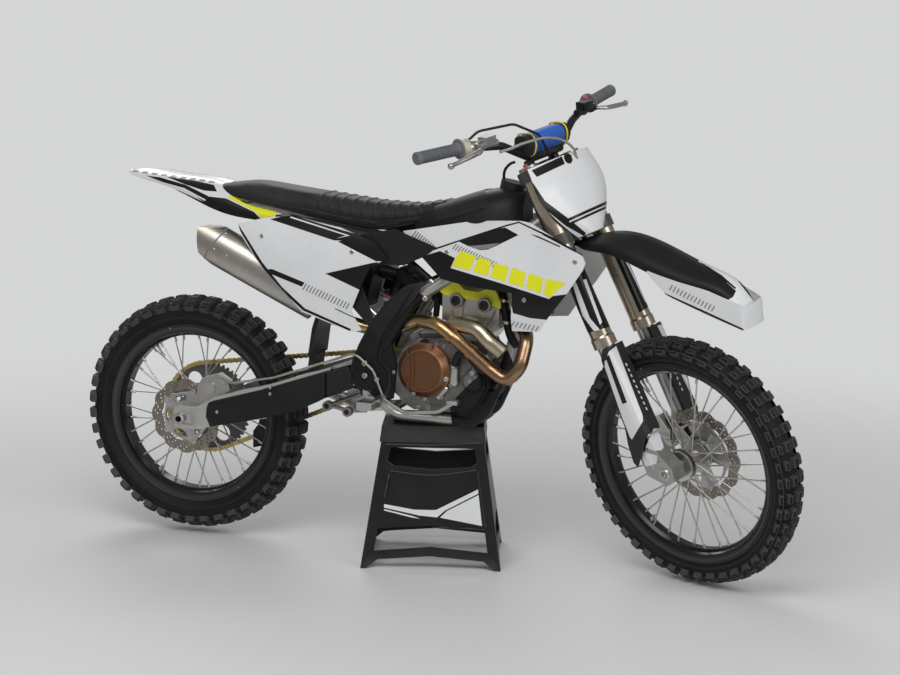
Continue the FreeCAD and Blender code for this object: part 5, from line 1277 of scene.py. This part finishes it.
def engine_details():
    """Bolts, bosses, ribs, plugs, hoses and clips of the engine, and what is bolted to the arm."""
    bm = bmesh.new()
    for px, py, r in ENGINE_BOLTS:
        foot, normal = spot(px, py, ENGINE)
        socket_bolt(bm, foot - normal * 0.0006, (normal + Vector((0, -0.6, 0))).normalized(), r, r * 0.8)
    put(bm, "engine_bolts", "chassis", "steel")
    bosses, plugs = bmesh.new(), bmesh.new()
    for px, py in CAM_BOSSES:
        foot = spot(px, py, TOP_END)[0]
        stem(bosses, foot - SIDE * 0.004, -SIDE, [(20, -2), (20, 5), (18.4, 7.5), (14, 8.2), (14, 6.0), (0, 6.0)], 28)
        stem(plugs, foot - SIDE * 0.006, -SIDE, [(13.4, 0), (13.4, 9.6), (12, 11.2), (6.5, 11.2), (5.5, 8.6),
                                                 (0, 8.6)], 24)
    for line in CYLINDER_RIBS:
        swept(bosses, [spot(px, py, TOP_END)[0] for px, py in line], 2.6, 10)
    foot, normal = spot(*FILLER_PLUG, ["clutch_cover", "crankcase"])
    stem(plugs, foot - normal * 0.002, -SIDE, [(12, -2), (12, 6), (10.5, 8.4), (7.5, 8.4), (7.0, 6.4), (0, 6.4)], 24)
    put(bosses, "cam_bosses", "chassis", "cast_grey")
    put(plugs, "engine_plugs", "chassis", "black_plastic")
    bm = bmesh.new()
    swept(bm, [spot(px, py, ENGINE)[0] - SIDE * (lift / 1000) for px, py, lift in ELBOW], 10.5, 14)
    for r, sides, run in HOSES:
        swept(bm, [off(*p) for p in run], r, sides)
    put(bm, "engine_hoses", "chassis", "hose_black")
    bm = bmesh.new()
    for start, end, r, s in PUMP_OUTLETS:
        foot = spot(*start, ENGINE)[0] - SIDE * 0.007
        way = spot(*end, ENGINE)[0] - SIDE * 0.011 - foot
        long = way.length * 1000
        stem(bm, foot, way, [(0, -r * 0.8), (r * 0.6, -r * 0.66), (r * 0.95, -r * 0.2), (r, 0), (s, long),
                             (s + 1.4, long), (s + 1.4, long + 4), (0, long + 4)])
    put(bm, "pump_outlet", "chassis", "bare_aluminium")
    bm = bmesh.new()
    for place_px in HOSE_CLIPS:
        stem(bm, off(*place_px) - Vector((0, 0, 0.004)), Vector((0.2, 0, 1)), [(13.6, 0), (13.6, 8), (12, 8), (12, 0)])
    put(bm, "hose_clips", "chassis", "steel")
    bm = bmesh.new()
    for px, py in SILENCER_RIVETS:
        foot, normal = spot(px, py, ["silencer"])
        stem(bm, foot - normal * 0.0004, normal, [(3.4, 0), (3.2, 1.0), (2.0, 1.9), (0, 2.1)], 12)
    put(bm, "silencer_rivets", "chassis", "steel")
    bm = bmesh.new()
    for px, py in ARM_BOLTS:
        socket_bolt(bm, off(px, py, ARM_BOLT_Y), -SIDE, 4.5, 2.6)
    put(bm, "arm_bolts", "chassis", "steel")
    rods, eyes = bmesh.new(), bmesh.new()
    for line in LINK_RODS:
        swept(rods, [off(px, py, LINK_Y) for px, py in line], 6, 12)
    for px, py in LINK_EYES:
        foot = off(px, py, LINK_Y + 9)
        stem(rods, foot, -SIDE, [(14, 0), (14, 17), (12.5, 18.5), (8.5, 18.5), (8.5, 16), (8.5, 0)], 24)
        stem(eyes, foot, -SIDE, [(8.4, 1), (8.4, 18), (5, 19.5), (5, 16.5), (0, 16.5)])
    paired("link_rods", mesh_of(rods, "link_rods"), "chassis", "cast_grey", "cast_grey")
    paired("link_eyes", mesh_of(eyes, "link_eyes"), "chassis", "cast_grey", "bar_black")


def front_details():
    """Bolts, the hose loop, the button, adjusters, lever sleeves, axle nuts and lid of the front end."""
    bm = bmesh.new()
    for px, py in LUG_BOLTS:
        foot, normal = spot(px, py, ["fork_sliders", "fork_guards"])
        socket_bolt(bm, foot - normal * 0.0005, normal, 6, 4)
    put(bm, "lug_bolts", "front_end", "steel")
    bm = bmesh.new()
    swept(bm, [off(*p) for p in BRAKE_HOSE_LOOP], 3.6, 10)
    put(bm, "brake_hose_loop", "front_end", "hose_silver")
    bm = bmesh.new()
    foot = spot(*STOP_BUTTON, ["clutch_master", "handlebar", "grips"])[0]
    stem(bm, foot, Vector((-0.3, -0.6, 0.5)), [(7, -4), (7, 6), (5.4, 8), (0, 8.4)], 16)
    put(bm, "stop_button", "front_end", "black_plastic", "ring_red")
    bm = bmesh.new()
    foot = spot(*LEVER_ADJUSTER, ["brake_master", "throttle_housing", "handlebar"])[0]
    stem(bm, foot, Vector((-0.5, -0.4, -0.7)), [(5, -2), (5, 12), (6.5, 13), (6.5, 19), (4, 20), (0, 20)], 16)
    put(bm, "lever_adjuster", "front_end", "bar_black", "lever_blue")
    bm = bmesh.new()
    for line, node in ((BRAKE_LEVER, "brake_master"), (CLUTCH_LEVER, "clutch_master")):
        swept(bm, [spot(px, py, [node])[0] + sight(px, py) * 0.003 for px, py in line], 6.0, 12)
    put(bm, "lever_blades", "front_end", "bare_aluminium")
    bm = bmesh.new()
    for side in (-1, 1):
        stem(bm, wheel_point(FRONT_AXLE, 0, side * FRONT_NUT_Y, 0), SIDE * side,
             [(17, 0), (17, 5), (15.5, 7), (10, 7), (9.4, 5), (9.4, 0)], 28)
    put(bm, "front_axle_nuts", "front_end", "steel", front=True)
    bm = bmesh.new()
    for px, py in FORK_ADJUSTERS:
        foot = spot(px, py, ["fork_clamps", "fork_tubes"])[0]
        stem(bm, foot - UP * 0.004, UP, [(8, -2), (8, 7), (6.5, 9), (0, 9)])
    put(bm, "fork_adjusters", "front_end", "bar_black", "ring_red")
    prints("front_end", "black_plastic", ["brake_master"], [("reservoir_lid", "print_grey", 0.5, [RESERVOIR_LID])],
           False)


def fittings():
    """Bolts of the bodywork, beads of the stand and the tank's vent hose."""
    bm = bmesh.new()
    for px, py, panel in PANEL_BOLTS:
        foot, normal = spot(px, py, [panel])
        socket_bolt(bm, foot - normal * 0.0004, normal, 6, 2.4)
    paired("panel_bolts", mesh_of(bm, "panel_bolts"), "chassis", "steel", "steel")
    bm = bmesh.new()
    for line in STAND_BEADS:
        run = [spot(px, py, ["stand"]) for px, py in line]
        swept(bm, [p + n * 0.0006 for p, n in run], 2.0, 8)
    put(bm, "stand_beads", "chassis", "black_plastic", "bar_black")
    bm = bmesh.new()
    swept(bm, [off(*p) for p in VENT_HOSE], 4, 10)
    put(bm, "vent_hose", "chassis", "hose_black")


# Camera and studio

SENSOR = 36
FLOOR_TONE = (0.78, 0.78, 0.775)
FLOOR_HALF = 7
FADE = (1.0, 3.6)
BACK_TONE = (0.66, 0.665, 0.67)
AMBIENT = 0.40
# Place, aim, size in m and power in W
LAMPS = {"key": ((0.5, -3.2, 3.8), (0, 0, 0.6), (3.4, 2.2), 95),
         "side": ((3.8, -1.6, 2.2), (0.3, 0, 0.7), (2.2, 2.2), 42),
         "back": ((-2.2, 3.0, 3.0), (0, 0, 0.7), (3.0, 2.0), 55)}


def set_camera():
    data = bpy.data.cameras.new("camera")
    data.lens = SENSOR * FOCAL_PX / FRAME_PX[0]
    data.sensor_width = SENSOR
    data.clip_end = 60
    turn = Matrix((RIGHT, ABOVE, -AHEAD)).transposed().to_4x4()
    turn.translation = EYE
    scene.camera = linked("camera", data)
    scene.camera.matrix_world = turn


def set_stage():
    """A pale floor that keeps the shadow and fades, away from the bike, into an even pale surround."""
    bm = bmesh.new()
    rows = [[bm.verts.new((x, y, 0)) for x in (-FLOOR_HALF, 0, FLOOR_HALF)] for y in (-FLOOR_HALF, 0, FLOOR_HALF)]
    for a, b in zip(rows, rows[1:]):
        for i in range(2):
            bm.faces.new((a[i], a[i + 1], b[i + 1], b[i]))
    mesh = bpy.data.meshes.new("floor")
    bm.to_mesh(mesh)
    bm.free()
    sheet = linked("floor", mesh)
    mat = bpy.data.materials.new("floor")
    mat.use_nodes = True
    tree = mat.node_tree
    bsdf = tree.nodes["Principled BSDF"]
    for key, value in (("Base Color", (*FLOOR_TONE, 1)), ("Roughness", 0.55), ("Specular IOR Level", 0.25)):
        bsdf.inputs[key].default_value = value
    where = shader(tree, "TexCoord").outputs["Object"]
    reach = shader(tree, "VectorMath", {0: where}, operation="LENGTH").outputs["Value"]
    fade = shader(tree, "MapRange", {"From Min": FADE[0], "From Max": FADE[1], "Value": reach},
                  interpolation_type="SMOOTHSTEP").outputs["Result"]
    clear = shader(tree, "BsdfTransparent").outputs["BSDF"]
    mix = shader(tree, "MixShader", {"Fac": fade, 1: bsdf.outputs["BSDF"], 2: clear}).outputs["Shader"]
    feed(tree, tree.nodes["Material Output"].inputs["Surface"], mix)
    mesh.materials.append(mat)
    world = bpy.data.worlds.new("studio")
    world.use_nodes = True
    scene.world = world
    tree = world.node_tree
    seen = shader(tree, "LightPath").outputs["Is Camera Ray"]
    strength = shader(tree, "MapRange", {"To Min": AMBIENT, "To Max": 1.0, "Value": seen}).outputs["Result"]
    background = tree.nodes["Background"]
    feed(tree, background.inputs["Strength"], strength)
    background.inputs["Color"].default_value = (*BACK_TONE, 1)


def add_lamp(name, pos, target, size, power):
    data = bpy.data.lights.new(name, "AREA")
    data.shape = "RECTANGLE"
    data.size, data.size_y = size
    data.energy = power
    lamp = linked(name, data)
    lamp.location = pos
    lamp.rotation_euler = (Vector(target) - Vector(pos)).to_track_quat("-Z", "Y").to_euler()


dress_frame()
# Outer radius, half width, rim radius, half width of the rim and blocks round the tyre
tyre("rear", 345, 61, 255, 34, 42)
tyre("front", 349, 48, 278, 26, 46)
# Rim radius and how far from the middle the nipples sit
nipples("rear", 255, 9)
nipples("front", 278, 6)
# Place across, outer radius, hole of the carrier and petals
brake_disc("rear", -75, 110, 34, 12)
brake_disc("front", 50, 130, 32, 14)
for make in (make_chain, sprocket_bolts, hub_bolts, make_seat, make_bar_pad, make_grips, make_spring,
             bodywork_graphics, dark_covers, engine_details, front_details, fittings, set_camera, set_stage):
    make()
for lamp_name, settings in LAMPS.items():
    add_lamp(lamp_name, *settings)
